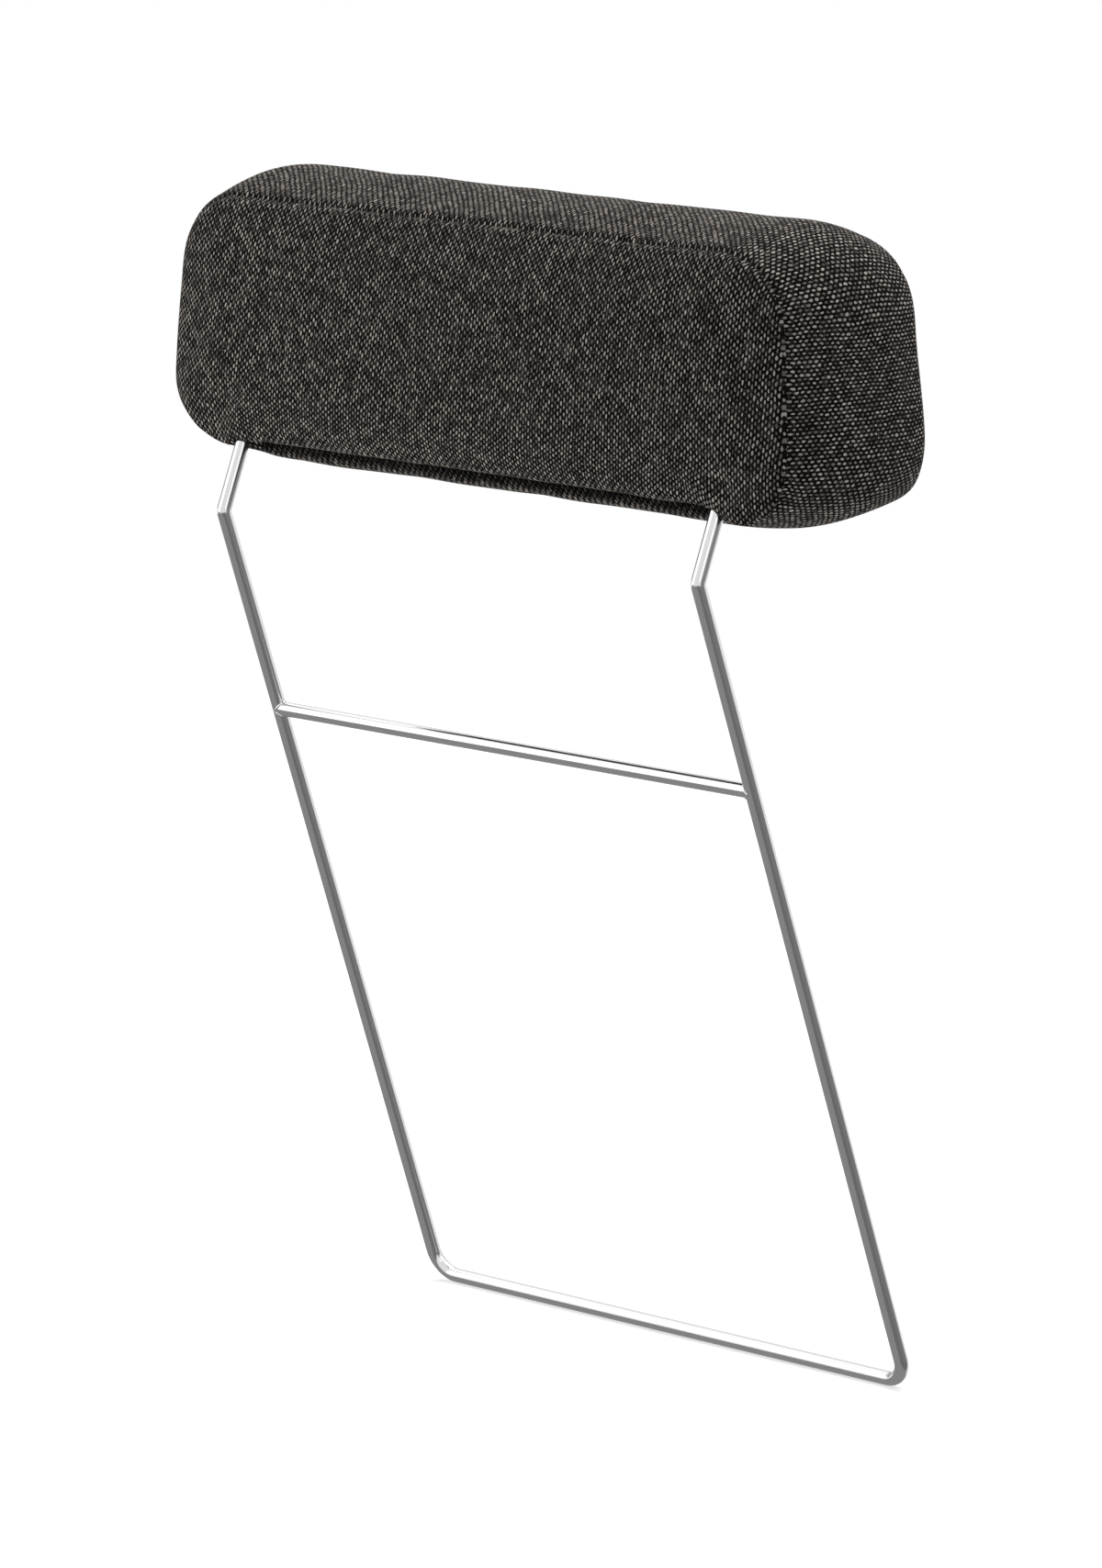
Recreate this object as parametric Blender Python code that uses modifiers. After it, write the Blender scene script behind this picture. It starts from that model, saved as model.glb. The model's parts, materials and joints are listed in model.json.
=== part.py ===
"""Sofa headrest: a fabric cushion on a long plug-in frame of bent steel rod.

The row frame has its origin on the axis of the bottom bar, halfway along it. +X runs along the bars,
+Y points to the side where the head rests, and +Z is up. Lengths are in metres.
"""

import math

import bmesh
import bpy
from mathutils import Matrix, Vector

MM = 0.001

# Rod frame: one bent rod with a bar welded across its legs.
ROD_DIAMETER = 10 * MM
ROD_SPACING = 450 * MM
LEG_LENGTH = 590.8 * MM
LEG_LEAN = math.radians(19.6)
NECK_LENGTH = 165 * MM
NECK_LEAN = math.radians(21.5)
CROSS_BAR_UP_LEG = 441.9 * MM
FOOT_BEND_RADIUS = 18 * MM
KINK_BEND_RADIUS = 7 * MM
BEND_STEP = math.radians(12)

# Cushion, between its seams. The panels bulge out past them.
SEAM_PAST_ROD = 66 * MM
SEAM_HEIGHT = 172 * MM
TOP_CORNER_RADIUS = 60 * MM
FOOT_CORNER_RADIUS = 42 * MM
BAND_DEPTH = 128 * MM
SEAM_UP_NECK = 43 * MM
SEAM_BEHIND_ROD = 2 * MM
PANEL_CROWN = 13 * MM
TOP_BAND_CROWN = 17 * MM
FOOT_BAND_CROWN = 13 * MM
END_BAND_CROWN = 12 * MM
COVER_THICKNESS = 2 * MM

# Closing tapes in the slot under the cushion, between the rods. They sit up between its lips.
TAPE_THICKNESS = 1.2 * MM
TAPE_ABOVE_LIPS = 9 * MM
TAPE_WIDTH = 16 * MM
TAPE_TO_PANEL = 0.5 * MM
TAPE_TO_ROD = 4 * MM

# Board and clamps inside the cushion.
BOARD_PAST_ROD = 30 * MM
BOARD_HEIGHT = 122 * MM
BOARD_THICKNESS = 12 * MM
BOARD_ABOVE_SEAM = 18 * MM
BOARD_EDGE_ROUND = 2 * MM
SADDLE_THICKNESS = 1.5 * MM
SADDLE_WIDTH = 14 * MM
SADDLE_FOOT = 12 * MM
SADDLE_FROM_BOARD_EDGE = 18 * MM
SADDLES_APART = 68 * MM
SCREW_DIAMETER = 4 * MM
SCREW_LENGTH = 11 * MM
SCREW_HEAD_DIAMETER = 7.5 * MM
SCREW_HEAD_HEIGHT = 2.4 * MM
SCREW_HEAD_CORNER = 0.6 * MM

# Pieces that touch keep this between them, and the foam a little more inside its cover.
GAP = 0.3 * MM
PAD_CLEARANCE = 0.6 * MM

# Fineness of the faceted surfaces.
ROD_RESOLUTION = 6
ARC_STEPS = 6
LONG_SIDE_STEPS = 12
SHORT_SIDE_STEPS = 5
BAND_STEPS = 8
TURNED_STEPS = 16
PANEL_RINGS = (0.86, 0.66, 0.45, 0.26, 0.11, 0.0)
SMALLEST_CORNER = 0.2

ROD_RADIUS = ROD_DIAMETER / 2
HALF_SPACING = ROD_SPACING / 2
SEAM_WIDTH = ROD_SPACING + 2 * SEAM_PAST_ROD
BOARD_WIDTH = ROD_SPACING + 2 * BOARD_PAST_ROD
LEG_UP = Vector((0, -math.sin(LEG_LEAN), math.cos(LEG_LEAN)))
NECK_UP = Vector((0, math.sin(NECK_LEAN), math.cos(NECK_LEAN)))
KINK = LEG_UP * LEG_LENGTH
SEAM_POINT = KINK + NECK_UP * SEAM_UP_NECK
BACK_SEAM_Y = SEAM_POINT.y - SEAM_BEHIND_ROD
SEAM_FOOT_Z = SEAM_POINT.z
CUSHION_MIDDLE = Vector((0, BACK_SEAM_Y + BAND_DEPTH / 2, SEAM_FOOT_Z + SEAM_HEIGHT / 2))
BOARD_FACE = ROD_RADIUS + GAP
BOARD_FOOT = SEAM_UP_NECK + BOARD_ABOVE_SEAM
FAR = 2 * (SEAM_WIDTH + SEAM_HEIGHT + BAND_DEPTH)

COLOURS = {
    "polished_steel": ((0.72, 0.72, 0.73), 0.16, 1.0),
    "zinc_steel": ((0.60, 0.60, 0.58), 0.38, 1.0),
    "woven_charcoal": ((0.062, 0.055, 0.050), 0.95, 0.0),
    "foam": ((0.78, 0.74, 0.62), 0.95, 0.0),
    "plywood": ((0.62, 0.46, 0.28), 0.70, 0.0),
    "black_tape": ((0.02, 0.02, 0.02), 0.90, 0.0),
}


def clear_scene():
    for thing in list(bpy.data.objects):
        bpy.data.objects.remove(thing)


def new_collection(name):
    made = bpy.data.collections.new(name)
    bpy.context.scene.collection.children.link(made)
    return made


def new_material(name):
    colour, roughness, metallic = COLOURS[name]
    made = bpy.data.materials.new(name)
    made.use_nodes = True
    shader = made.node_tree.nodes["Principled BSDF"]
    shader.inputs["Base Color"].default_value = (*colour, 1)
    shader.inputs["Roughness"].default_value = roughness
    shader.inputs["Metallic"].default_value = metallic
    return made


def add_object(name, data, collection, material=None):
    made = bpy.data.objects.new(name, data)
    collection.objects.link(made)
    if material:
        data.materials.clear()
        data.materials.append(material)
    return made


def mesh_of(form):
    """A mesh with the shape that form puts in a new bmesh, with its faces pointing out."""
    shape = bmesh.new()
    form(shape)
    bmesh.ops.recalc_face_normals(shape, faces=shape.faces)
    mesh = bpy.data.meshes.new("shape")
    shape.to_mesh(mesh)
    shape.free()
    return mesh


def box_mesh(low, high):
    low = Vector(low)
    high = Vector(high)

    def form(shape):
        size = high - low
        place = Matrix.Translation((low + high) / 2) @ Matrix.Diagonal((*size, 1))
        bmesh.ops.create_cube(shape, size=1, matrix=place)

    return mesh_of(form)


def cylinder_mesh(radius, start, end, sides=24):
    start = Vector(start)
    end = Vector(end)

    def form(shape):
        along = end - start
        turn = Vector((0, 0, 1)).rotation_difference(along).to_matrix().to_4x4()
        bmesh.ops.create_cone(
            shape,
            cap_ends=True,
            segments=sides,
            radius1=radius,
            radius2=radius,
            depth=along.length,
            matrix=Matrix.Translation((start + end) / 2) @ turn,
        )

    return mesh_of(form)


def shade_round(thing):
    thing.data.shade_smooth()
    thing.data.set_sharp_from_angle(angle=math.radians(35))


def add_cutter(name, mesh, collection, parent=None):
    made = add_object(name, mesh, collection)
    made.hide_render = True
    made.display_type = "WIRE"
    made.parent = parent
    return made


def apply_boolean(thing, other, operation):
    step = thing.modifiers.new(other.name, "BOOLEAN")
    step.operation = operation
    step.solver = "EXACT"
    step.object = other


def bent(corners, radii):
    """Points along a line through the corners, with an arc of its radius at each inner corner."""
    points = [corners[0]]
    for before, corner, after, radius in zip(corners, corners[1:], corners[2:], radii):
        to_start = (before - corner).normalized()
        to_end = (after - corner).normalized()
        turn = math.pi - to_start.angle(to_end)
        tangent = radius * math.tan(turn / 2)
        middle = (to_start + to_end).normalized()
        centre = corner + middle * radius / math.cos(turn / 2)
        first = corner + to_start * tangent - centre
        axis = to_end.cross(to_start).normalized()
        steps = math.ceil(turn / BEND_STEP)
        for step in range(steps + 1):
            points.append(centre + Matrix.Rotation(turn * step / steps, 3, axis) @ first)
    points.append(corners[-1])
    return points


def rod_curve(points):
    """A round rod along the points, as a curve with filled ends."""
    curve = bpy.data.curves.new("rod", "CURVE")
    curve.dimensions = "3D"
    curve.bevel_depth = ROD_RADIUS
    curve.bevel_resolution = ROD_RESOLUTION
    curve.use_fill_caps = True
    line = curve.splines.new("POLY")
    line.points.add(len(points) - 1)
    for place, point in zip(line.points, points):
        place.co = (*point, 1)
    return curve


def curve_made_mesh(thing, collection):
    """The same object with its curve made a closed mesh, which a Boolean can cut."""
    graph = bpy.context.evaluated_depsgraph_get()
    mesh = bpy.data.meshes.new_from_object(thing.evaluated_get(graph))
    shape = bmesh.new()
    shape.from_mesh(mesh)
    bmesh.ops.remove_doubles(shape, verts=shape.verts, dist=GAP / 100)
    bmesh.ops.recalc_face_normals(shape, faces=shape.faces)
    shape.to_mesh(mesh)
    shape.free()
    name = thing.name
    place = thing.matrix_world.copy()
    parent = thing.parent
    bpy.data.objects.remove(thing)
    made = add_object(name, mesh, collection)
    made.parent = parent
    made.matrix_world = place
    return made


def leg_x(side):
    return side * HALF_SPACING


def rod_corners():
    """The rod's corners, from the upper end on one side, down and across, to the other upper end."""
    corners = []
    for side in (-1, 1):
        shift = Vector((leg_x(side), 0, 0))
        down = [KINK + NECK_UP * NECK_LENGTH + shift, KINK + shift, shift]
        corners += down if side < 0 else down[::-1]
    return corners


def build_wire_frame(parts, steel):
    radii = (KINK_BEND_RADIUS, FOOT_BEND_RADIUS, FOOT_BEND_RADIUS, KINK_BEND_RADIUS)
    add_object("wire_frame", rod_curve(bent(rod_corners(), radii)), parts, steel)


def build_cross_bar(parts, cutters, steel):
    """The welded bar. Each end is hollowed to sit round its leg."""
    middle = LEG_UP * CROSS_BAR_UP_LEG
    ends = [Vector((leg_x(side), 0, 0)) for side in (-1, 1)]
    curve_object = add_object("cross_bar", rod_curve(ends), parts, steel)
    curve_object.location = middle
    bpy.context.view_layer.update()
    bar = curve_made_mesh(curve_object, parts)
    bar.data.materials.clear()
    bar.data.materials.append(steel)
    reach = LEG_UP * 4 * ROD_DIAMETER
    for side in (-1, 1):
        foot = middle + ends[(side + 1) // 2]
        hollow = cylinder_mesh(ROD_RADIUS + GAP, foot - reach, foot + reach, 32)
        cutter = add_cutter(f"leg_hollow_{side + 2}", hollow, cutters)
        apply_boolean(bar, cutter, "DIFFERENCE")
    shade_round(bar)


def seam_corners(inset):
    """The seam's corner arcs at an inset, round from the top right one: centre x, centre z and radius."""
    half_width = SEAM_WIDTH / 2 - inset
    half_height = SEAM_HEIGHT / 2 - inset
    corners = []
    for side, up in ((1, 1), (-1, 1), (-1, -1), (1, -1)):
        size = TOP_CORNER_RADIUS if up > 0 else FOOT_CORNER_RADIUS
        radius = max(size - inset, SMALLEST_CORNER * size)
        corners.append((side * (half_width - radius), up * (half_height - radius), radius))
    return corners


def outline(inset):
    """Points and outward directions round the seam, (x, z) from the cushion's middle, at an inset."""
    corners = seam_corners(inset)
    points = []
    for quarter, (x, z, radius) in enumerate(corners):
        for step in range(ARC_STEPS + 1):
            angle = math.pi / 2 * (quarter + step / ARC_STEPS)
            out = (math.cos(angle), math.sin(angle))
            points.append((x + radius * out[0], z + radius * out[1], *out))
        next_x, next_z, next_radius = corners[(quarter + 1) % 4]
        start = Vector((x + radius * out[0], z + radius * out[1]))
        end = Vector((next_x + next_radius * out[0], next_z + next_radius * out[1]))
        steps = SHORT_SIDE_STEPS if quarter % 2 else LONG_SIDE_STEPS
        for step in range(1, steps):
            points.append((*start.lerp(end, step / steps), *out))
    return points


def panel_rings(side, inset, edge_trim=0.0):
    """Rings of a crowned panel from near its middle to its seam. side is -1 at the back, 1 at the front."""
    rings = []
    reach = SEAM_HEIGHT / 2 - inset - edge_trim
    for share in PANEL_RINGS:
        crown = PANEL_CROWN * math.sin(math.pi / 2 * share)
        y = side * (BAND_DEPTH / 2 - inset + crown)
        ring = outline(inset + edge_trim + share * reach)
        rings.append([CUSHION_MIDDLE + Vector((x, y, z)) for x, z, _, _ in ring])
    return rings


def band_rings(inset, edge_trim=0.0):
    """Rings of the band that runs round the cushion, from the back seam to the front seam."""
    half_depth = BAND_DEPTH / 2 - inset - edge_trim
    rings = []
    for step in range(BAND_STEPS + 1):
        share = step / BAND_STEPS
        y = half_depth * (2 * share - 1)
        ring = []
        for x, z, out_x, out_z in outline(inset):
            long_crown = TOP_BAND_CROWN if out_z > 0 else FOOT_BAND_CROWN
            crown = END_BAND_CROWN * out_x**2 + long_crown * out_z**2
            bulge = crown * math.sin(math.pi * share)
            ring.append(CUSHION_MIDDLE + Vector((x + out_x * bulge, y, z + out_z * bulge)))
        rings.append(ring)
    return rings


def loft_mesh(rings, pole_first=None, pole_last=None, closed=False):
    """Bridges rings of equal length, with a point at either end or with the last ring joined to the first."""

    def form(shape):
        rows = [[shape.verts.new(point) for point in ring] for ring in rings]
        pairs = list(zip(rows, rows[1:]))
        if closed:
            pairs.append((rows[-1], rows[0]))
        count = len(rows[0])
        for row, following in pairs:
            for i in range(count):
                j = (i + 1) % count
                shape.faces.new((row[i], row[j], following[j], following[i]))
        for pole, row in ((pole_first, rows[0]), (pole_last, rows[-1])):
            if pole is None:
                continue
            tip = shape.verts.new(pole)
            for i in range(count):
                shape.faces.new((row[i], row[(i + 1) % count], tip))
        bmesh.ops.triangulate(shape, faces=shape.faces, quad_method="SHORT_EDGE")

    return mesh_of(form)


def pole(side, inset):
    return CUSHION_MIDDLE + Vector((0, side * (BAND_DEPTH / 2 - inset + PANEL_CROWN), 0))


def panel_mesh(side):
    outer = panel_rings(side, 0, GAP)
    inner = panel_rings(side, COVER_THICKNESS, GAP)
    return loft_mesh(outer + inner[::-1], pole(side, 0), pole(side, COVER_THICKNESS))


def band_mesh():
    outer = band_rings(0, GAP)
    inner = band_rings(COVER_THICKNESS, GAP)
    return loft_mesh(outer + inner[::-1], closed=True)


def filling_mesh():
    """What the cover holds: its own form, set in by the cover and a clearance."""
    inset = COVER_THICKNESS + PAD_CLEARANCE
    rings = panel_rings(-1, inset) + band_rings(inset)[1:-1] + panel_rings(1, inset)[::-1]
    return loft_mesh(rings, pole(-1, inset), pole(1, inset))


def groove_mesh(x, radius, low, high, mouth):
    """A round-bottomed groove along the neck for a rod at x, open towards +Y as far as its mouth."""
    arc = [math.pi * step / (2 * ARC_STEPS) for step in range(2 * ARC_STEPS + 1)]
    section = [(x - radius * math.cos(angle), -radius * math.sin(angle)) for angle in arc]
    section += [(x + radius, mouth), (x - radius, mouth)]

    def form(shape):
        foot = shape.faces.new([shape.verts.new((px, py, low)) for px, py in section])
        grown = bmesh.ops.extrude_face_region(shape, geom=[foot])
        top = [thing for thing in grown["geom"] if isinstance(thing, bmesh.types.BMVert)]
        bmesh.ops.translate(shape, verts=top, vec=(0, 0, high - low))

    return mesh_of(form)


def add_rod_cutters(neck, cutters):
    """A round hole for each rod through the cover, and a groove for it in the pad behind the board."""
    holes = []
    grooves = []
    radius = ROD_RADIUS + GAP
    low = KINK_BEND_RADIUS
    high = NECK_LENGTH + GAP
    for side in (-1, 1):
        x = leg_x(side)
        hole = cylinder_mesh(radius, (x, 0, low), (x, 0, high))
        holes.append(add_cutter(f"rod_hole_{side + 2}", hole, cutters, neck))
        groove = groove_mesh(x, radius, low, high, BOARD_FACE + GAP)
        grooves.append(add_cutter(f"rod_groove_{side + 2}", groove, cutters, neck))
    return holes, grooves


def tape_low_z():
    return SEAM_FOOT_Z + COVER_THICKNESS + TAPE_ABOVE_LIPS


def tape_half_length():
    return HALF_SPACING - ROD_RADIUS - TAPE_TO_ROD


def loop_tape_y():
    return BACK_SEAM_Y + COVER_THICKNESS + TAPE_TO_PANEL


def hook_tape_y():
    return loop_tape_y() + TAPE_THICKNESS + GAP


def slot_front_y():
    return hook_tape_y() + TAPE_THICKNESS + GAP


def build_cover(parts, cutters, rod_holes, fabric):
    slot = box_mesh(
        (-tape_half_length() - GAP, BACK_SEAM_Y - COVER_THICKNESS, SEAM_FOOT_Z - 2 * FOOT_BAND_CROWN),
        (tape_half_length() + GAP, slot_front_y(), SEAM_FOOT_Z + 2 * COVER_THICKNESS),
    )
    slot_cutter = add_cutter("closing_slot", slot, cutters)
    back = add_object("cover_back", panel_mesh(-1), parts, fabric)
    band = add_object("cover_band", band_mesh(), parts, fabric)
    front = add_object("cover_front", panel_mesh(1), parts, fabric)
    for hole in rod_holes:
        apply_boolean(back, hole, "DIFFERENCE")
        apply_boolean(band, hole, "DIFFERENCE")
    apply_boolean(band, slot_cutter, "DIFFERENCE")
    for panel in (back, band, front):
        shade_round(panel)


def build_tapes(parts, tape):
    names_and_places = (("loop_tape", loop_tape_y()), ("hook_tape", hook_tape_y()))
    for name, y in names_and_places:
        mesh = box_mesh(
            (-tape_half_length(), y, tape_low_z()),
            (tape_half_length(), y + TAPE_THICKNESS, tape_low_z() + TAPE_WIDTH),
        )
        add_object(name, mesh, parts, tape)


def saddle_heights():
    """Places of the clamps along the neck, measured from the kink."""
    low = BOARD_FOOT + SADDLE_FROM_BOARD_EDGE
    return (low, low + SADDLES_APART)


def saddle_outer_radius():
    return ROD_RADIUS + GAP + SADDLE_THICKNESS


def saddle_half_width():
    return saddle_outer_radius() + SADDLE_FOOT


def screw_offset():
    return saddle_outer_radius() + SADDLE_FOOT / 2


def saddle_outline():
    """The clamp's section across the rod, as (x, y) round it: two feet and an arch."""
    foot_low = BOARD_FACE - GAP - SADDLE_THICKNESS
    foot_high = BOARD_FACE - GAP
    inner = ROD_RADIUS + GAP
    outer = saddle_outer_radius()
    half = saddle_half_width()
    arc = [math.pi * step / (2 * ARC_STEPS) for step in range(2 * ARC_STEPS + 1)]
    points = [(half, foot_low), (half, foot_high), (inner, foot_high)]
    points += [(inner * math.cos(angle), -inner * math.sin(angle)) for angle in arc]
    points += [(-inner, foot_high), (-half, foot_high), (-half, foot_low), (-outer, foot_low)]
    points += [(-outer * math.cos(angle), -outer * math.sin(angle)) for angle in arc]
    points.append((outer, foot_low))
    return points


def saddle_object(name, neck, place, parts, zinc):
    curve = bpy.data.curves.new("saddle", "CURVE")
    curve.dimensions = "2D"
    curve.fill_mode = "BOTH"
    curve.extrude = SADDLE_WIDTH / 2
    points = saddle_outline()
    line = curve.splines.new("POLY")
    line.points.add(len(points) - 1)
    line.use_cyclic_u = True
    for spot, (x, y) in zip(line.points, points):
        spot.co = (x, y, 0, 1)
    thing = add_object(name, curve, parts)
    thing.parent = neck
    thing.location = place
    bpy.context.view_layer.update()
    made = curve_made_mesh(thing, parts)
    made.data.materials.clear()
    made.data.materials.append(zinc)
    return made


def screw_mesh():
    """Half of a pan-head screw's section, head up, from the axis on top down to the axis at the tip."""
    radius = SCREW_DIAMETER / 2
    head = SCREW_HEAD_DIAMETER / 2
    profile = [(0, SCREW_HEAD_HEIGHT), (head - 2 * SCREW_HEAD_CORNER, SCREW_HEAD_HEIGHT)]
    profile += [(head - SCREW_HEAD_CORNER / 2, SCREW_HEAD_HEIGHT - SCREW_HEAD_CORNER)]
    profile += [(head, SCREW_HEAD_HEIGHT / 3), (head, 0), (radius, 0)]
    profile += [(radius, -SCREW_LENGTH + radius), (0, -SCREW_LENGTH)]
    mesh = bpy.data.meshes.new("screw")
    edges = [(i, i + 1) for i in range(len(profile) - 1)]
    mesh.from_pydata([(x, 0, z) for x, z in profile], edges, [])
    return mesh


def screw_object(name, neck, place, parts, mesh, zinc):
    """The screw's head faces the back, so its own +Z turns to the neck's -Y."""
    made = add_object(name, mesh, parts, zinc)
    made.parent = neck
    made.location = place
    made.rotation_euler = (math.pi / 2, 0, 0)
    turned = made.modifiers.new("turned", "SCREW")
    turned.steps = TURNED_STEPS
    turned.render_steps = TURNED_STEPS
    turned.use_merge_vertices = True
    turned.merge_threshold = 0.00001
    turned.use_smooth_shade = True
    return made


def build_board(parts, neck, plywood):
    mesh = box_mesh(
        (-BOARD_WIDTH / 2, BOARD_FACE, BOARD_FOOT),
        (BOARD_WIDTH / 2, BOARD_FACE + BOARD_THICKNESS, BOARD_FOOT + BOARD_HEIGHT),
    )
    board = add_object("stiffener_board", mesh, parts, plywood)
    board.parent = neck
    rounding = board.modifiers.new("rounded_edges", "BEVEL")
    rounding.width = BOARD_EDGE_ROUND
    rounding.segments = 2
    return board


def build_clamps(parts, cutters, neck, board, zinc):
    """Four saddles hold the rods to the board, each with two screws."""
    pockets = []
    screw_shape = screw_mesh()
    head_seat = BOARD_FACE - GAP - SADDLE_THICKNESS - GAP
    hole_radius = SCREW_DIAMETER / 2 + GAP
    count = 0
    screw_count = 0
    for side in (-1, 1):
        for height in saddle_heights():
            count += 1
            place = Vector((leg_x(side), 0, height))
            saddle = saddle_object(f"saddle_{count}", neck, place, parts, zinc)
            for hand in (-1, 1):
                screw_count += 1
                x = leg_x(side) + hand * screw_offset()
                seat = Vector((x, head_seat, height))
                screw_object(f"screw_{screw_count}", neck, seat, parts, screw_shape, zinc)
                start = (x, -saddle_outer_radius(), height)
                end = (x, BOARD_FACE + 2 * BOARD_THICKNESS, height)
                hole = cylinder_mesh(hole_radius, start, end)
                cutter = add_cutter(f"screw_hole_{screw_count}", hole, cutters, neck)
                apply_boolean(saddle, cutter, "DIFFERENCE")
                apply_boolean(board, cutter, "DIFFERENCE")
            reach = saddle_half_width() + GAP
            pocket = box_mesh(
                (place.x - reach, -saddle_outer_radius() - GAP, height - SADDLE_WIDTH / 2 - GAP),
                (place.x + reach, BOARD_FACE + GAP, height + SADDLE_WIDTH / 2 + GAP),
            )
            pockets.append(add_cutter(f"saddle_pocket_{count}", pocket, cutters, neck))
            shade_round(saddle)
    return pockets


def build_pads(parts, cutters, neck, grooves, pockets, foam):
    """Two foam pads that part at the board's face. The back one is grooved and the front one holds the board."""
    back_half = box_mesh((-FAR, -FAR, -FAR), (FAR, BOARD_FACE - GAP, FAR))
    front_half = box_mesh((-FAR, BOARD_FACE, -FAR), (FAR, FAR, FAR))
    board_pocket = box_mesh(
        (-BOARD_WIDTH / 2 - GAP, 0, BOARD_FOOT - GAP),
        (BOARD_WIDTH / 2 + GAP, BOARD_FACE + BOARD_THICKNESS + GAP, BOARD_FOOT + BOARD_HEIGHT + GAP),
    )
    closing_recess = box_mesh(
        (-tape_half_length() - GAP, BACK_SEAM_Y - BAND_DEPTH, SEAM_FOOT_Z - BAND_DEPTH),
        (tape_half_length() + GAP, slot_front_y(), tape_low_z() + TAPE_WIDTH + GAP),
    )
    back_side = add_cutter("back_half", back_half, cutters, neck)
    front_side = add_cutter("front_half", front_half, cutters, neck)
    board_cutter = add_cutter("board_pocket", board_pocket, cutters, neck)
    closing_cutter = add_cutter("closing_recess", closing_recess, cutters)
    back = add_object("foam_back", filling_mesh(), parts, foam)
    apply_boolean(back, back_side, "INTERSECT")
    for cutter in (*grooves, *pockets, closing_cutter):
        apply_boolean(back, cutter, "DIFFERENCE")
    front = add_object("foam_front", filling_mesh(), parts, foam)
    apply_boolean(front, front_side, "INTERSECT")
    apply_boolean(front, board_cutter, "DIFFERENCE")
    for pad in (back, front):
        shade_round(pad)


def build():
    clear_scene()
    parts = new_collection("sofa_headrest")
    cutters = new_collection("cutters")
    materials = {name: new_material(name) for name in COLOURS}
    neck = bpy.data.objects.new("neck_axis", None)
    parts.objects.link(neck)
    neck.location = KINK
    neck.rotation_euler = (-NECK_LEAN, 0, 0)
    bpy.context.view_layer.update()
    build_wire_frame(parts, materials["polished_steel"])
    build_cross_bar(parts, cutters, materials["polished_steel"])
    rod_holes, grooves = add_rod_cutters(neck, cutters)
    board = build_board(parts, neck, materials["plywood"])
    pockets = build_clamps(parts, cutters, neck, board, materials["zinc_steel"])
    build_pads(parts, cutters, neck, grooves, pockets, materials["foam"])
    build_cover(parts, cutters, rod_holes, materials["woven_charcoal"])
    build_tapes(parts, materials["black_tape"])


build()
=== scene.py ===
"""Looks of a sofa headrest: a woven cushion on a plug-in frame of bent steel rod."""

import json
import math

import bpy
import numpy as np
from bpy.props import FloatProperty, FloatVectorProperty, PointerProperty
from mathutils import Euler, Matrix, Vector

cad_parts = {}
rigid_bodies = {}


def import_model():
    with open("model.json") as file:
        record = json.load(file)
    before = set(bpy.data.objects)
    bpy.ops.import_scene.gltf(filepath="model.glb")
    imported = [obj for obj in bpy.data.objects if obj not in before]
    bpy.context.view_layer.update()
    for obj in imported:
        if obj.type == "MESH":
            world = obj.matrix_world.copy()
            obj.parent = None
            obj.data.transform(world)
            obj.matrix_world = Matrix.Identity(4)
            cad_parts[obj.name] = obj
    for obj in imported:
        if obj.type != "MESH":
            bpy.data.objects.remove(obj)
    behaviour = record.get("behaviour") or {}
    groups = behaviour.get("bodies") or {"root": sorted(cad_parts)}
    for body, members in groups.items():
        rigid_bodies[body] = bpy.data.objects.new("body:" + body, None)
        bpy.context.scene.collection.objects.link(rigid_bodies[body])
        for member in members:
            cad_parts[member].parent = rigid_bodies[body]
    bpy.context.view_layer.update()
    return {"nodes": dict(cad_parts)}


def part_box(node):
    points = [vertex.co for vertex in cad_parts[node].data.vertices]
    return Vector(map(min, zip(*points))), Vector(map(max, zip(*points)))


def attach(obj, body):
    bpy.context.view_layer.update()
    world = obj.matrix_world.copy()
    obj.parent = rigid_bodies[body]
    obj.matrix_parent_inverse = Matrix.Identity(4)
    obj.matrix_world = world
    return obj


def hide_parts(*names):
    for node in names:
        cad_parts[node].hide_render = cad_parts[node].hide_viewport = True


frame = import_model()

bl_info = {
    "name": "Sofa headrest",
    "version": (1, 0, 0),
    "blender": (4, 5, 0),
    "location": "View3D > Sidebar > Headrest",
    "description": "Builds a woven headrest cushion on its steel rod frame, with a plain stage",
    "category": "Object",
}

MM = 0.001
ROD_LOW, ROD_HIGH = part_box("wire_frame")
ROD_DIAMETER = -2 * ROD_LOW.z
ROD_SPACING = ROD_HIGH.x - ROD_LOW.x - ROD_DIAMETER
COVER_LOW, COVER_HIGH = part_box("cover_band")
PANEL_LOW, PANEL_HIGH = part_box("cover_back")

# The CAD cover stops this far short of each seam's line.
SEAM_GAP = 0.3 * MM


# Nodes


class Wire:
    """A value inside a material's nodes. Arithmetic on it adds Math nodes."""

    def __init__(self, graph, socket):
        self.graph = graph
        self.socket = socket

    def __add__(self, other):
        return self.graph.math("ADD", self, other)

    __radd__ = __add__

    def __sub__(self, other):
        return self.graph.math("SUBTRACT", self, other)

    def __rsub__(self, other):
        return self.graph.math("SUBTRACT", other, self)

    def __mul__(self, other):
        return self.graph.math("MULTIPLY", self, other)

    __rmul__ = __mul__

    def __truediv__(self, other):
        return self.graph.math("DIVIDE", self, other)

    def __rtruediv__(self, other):
        return self.graph.math("DIVIDE", other, self)

    def __pow__(self, other):
        return self.graph.math("POWER", self, other)


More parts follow.
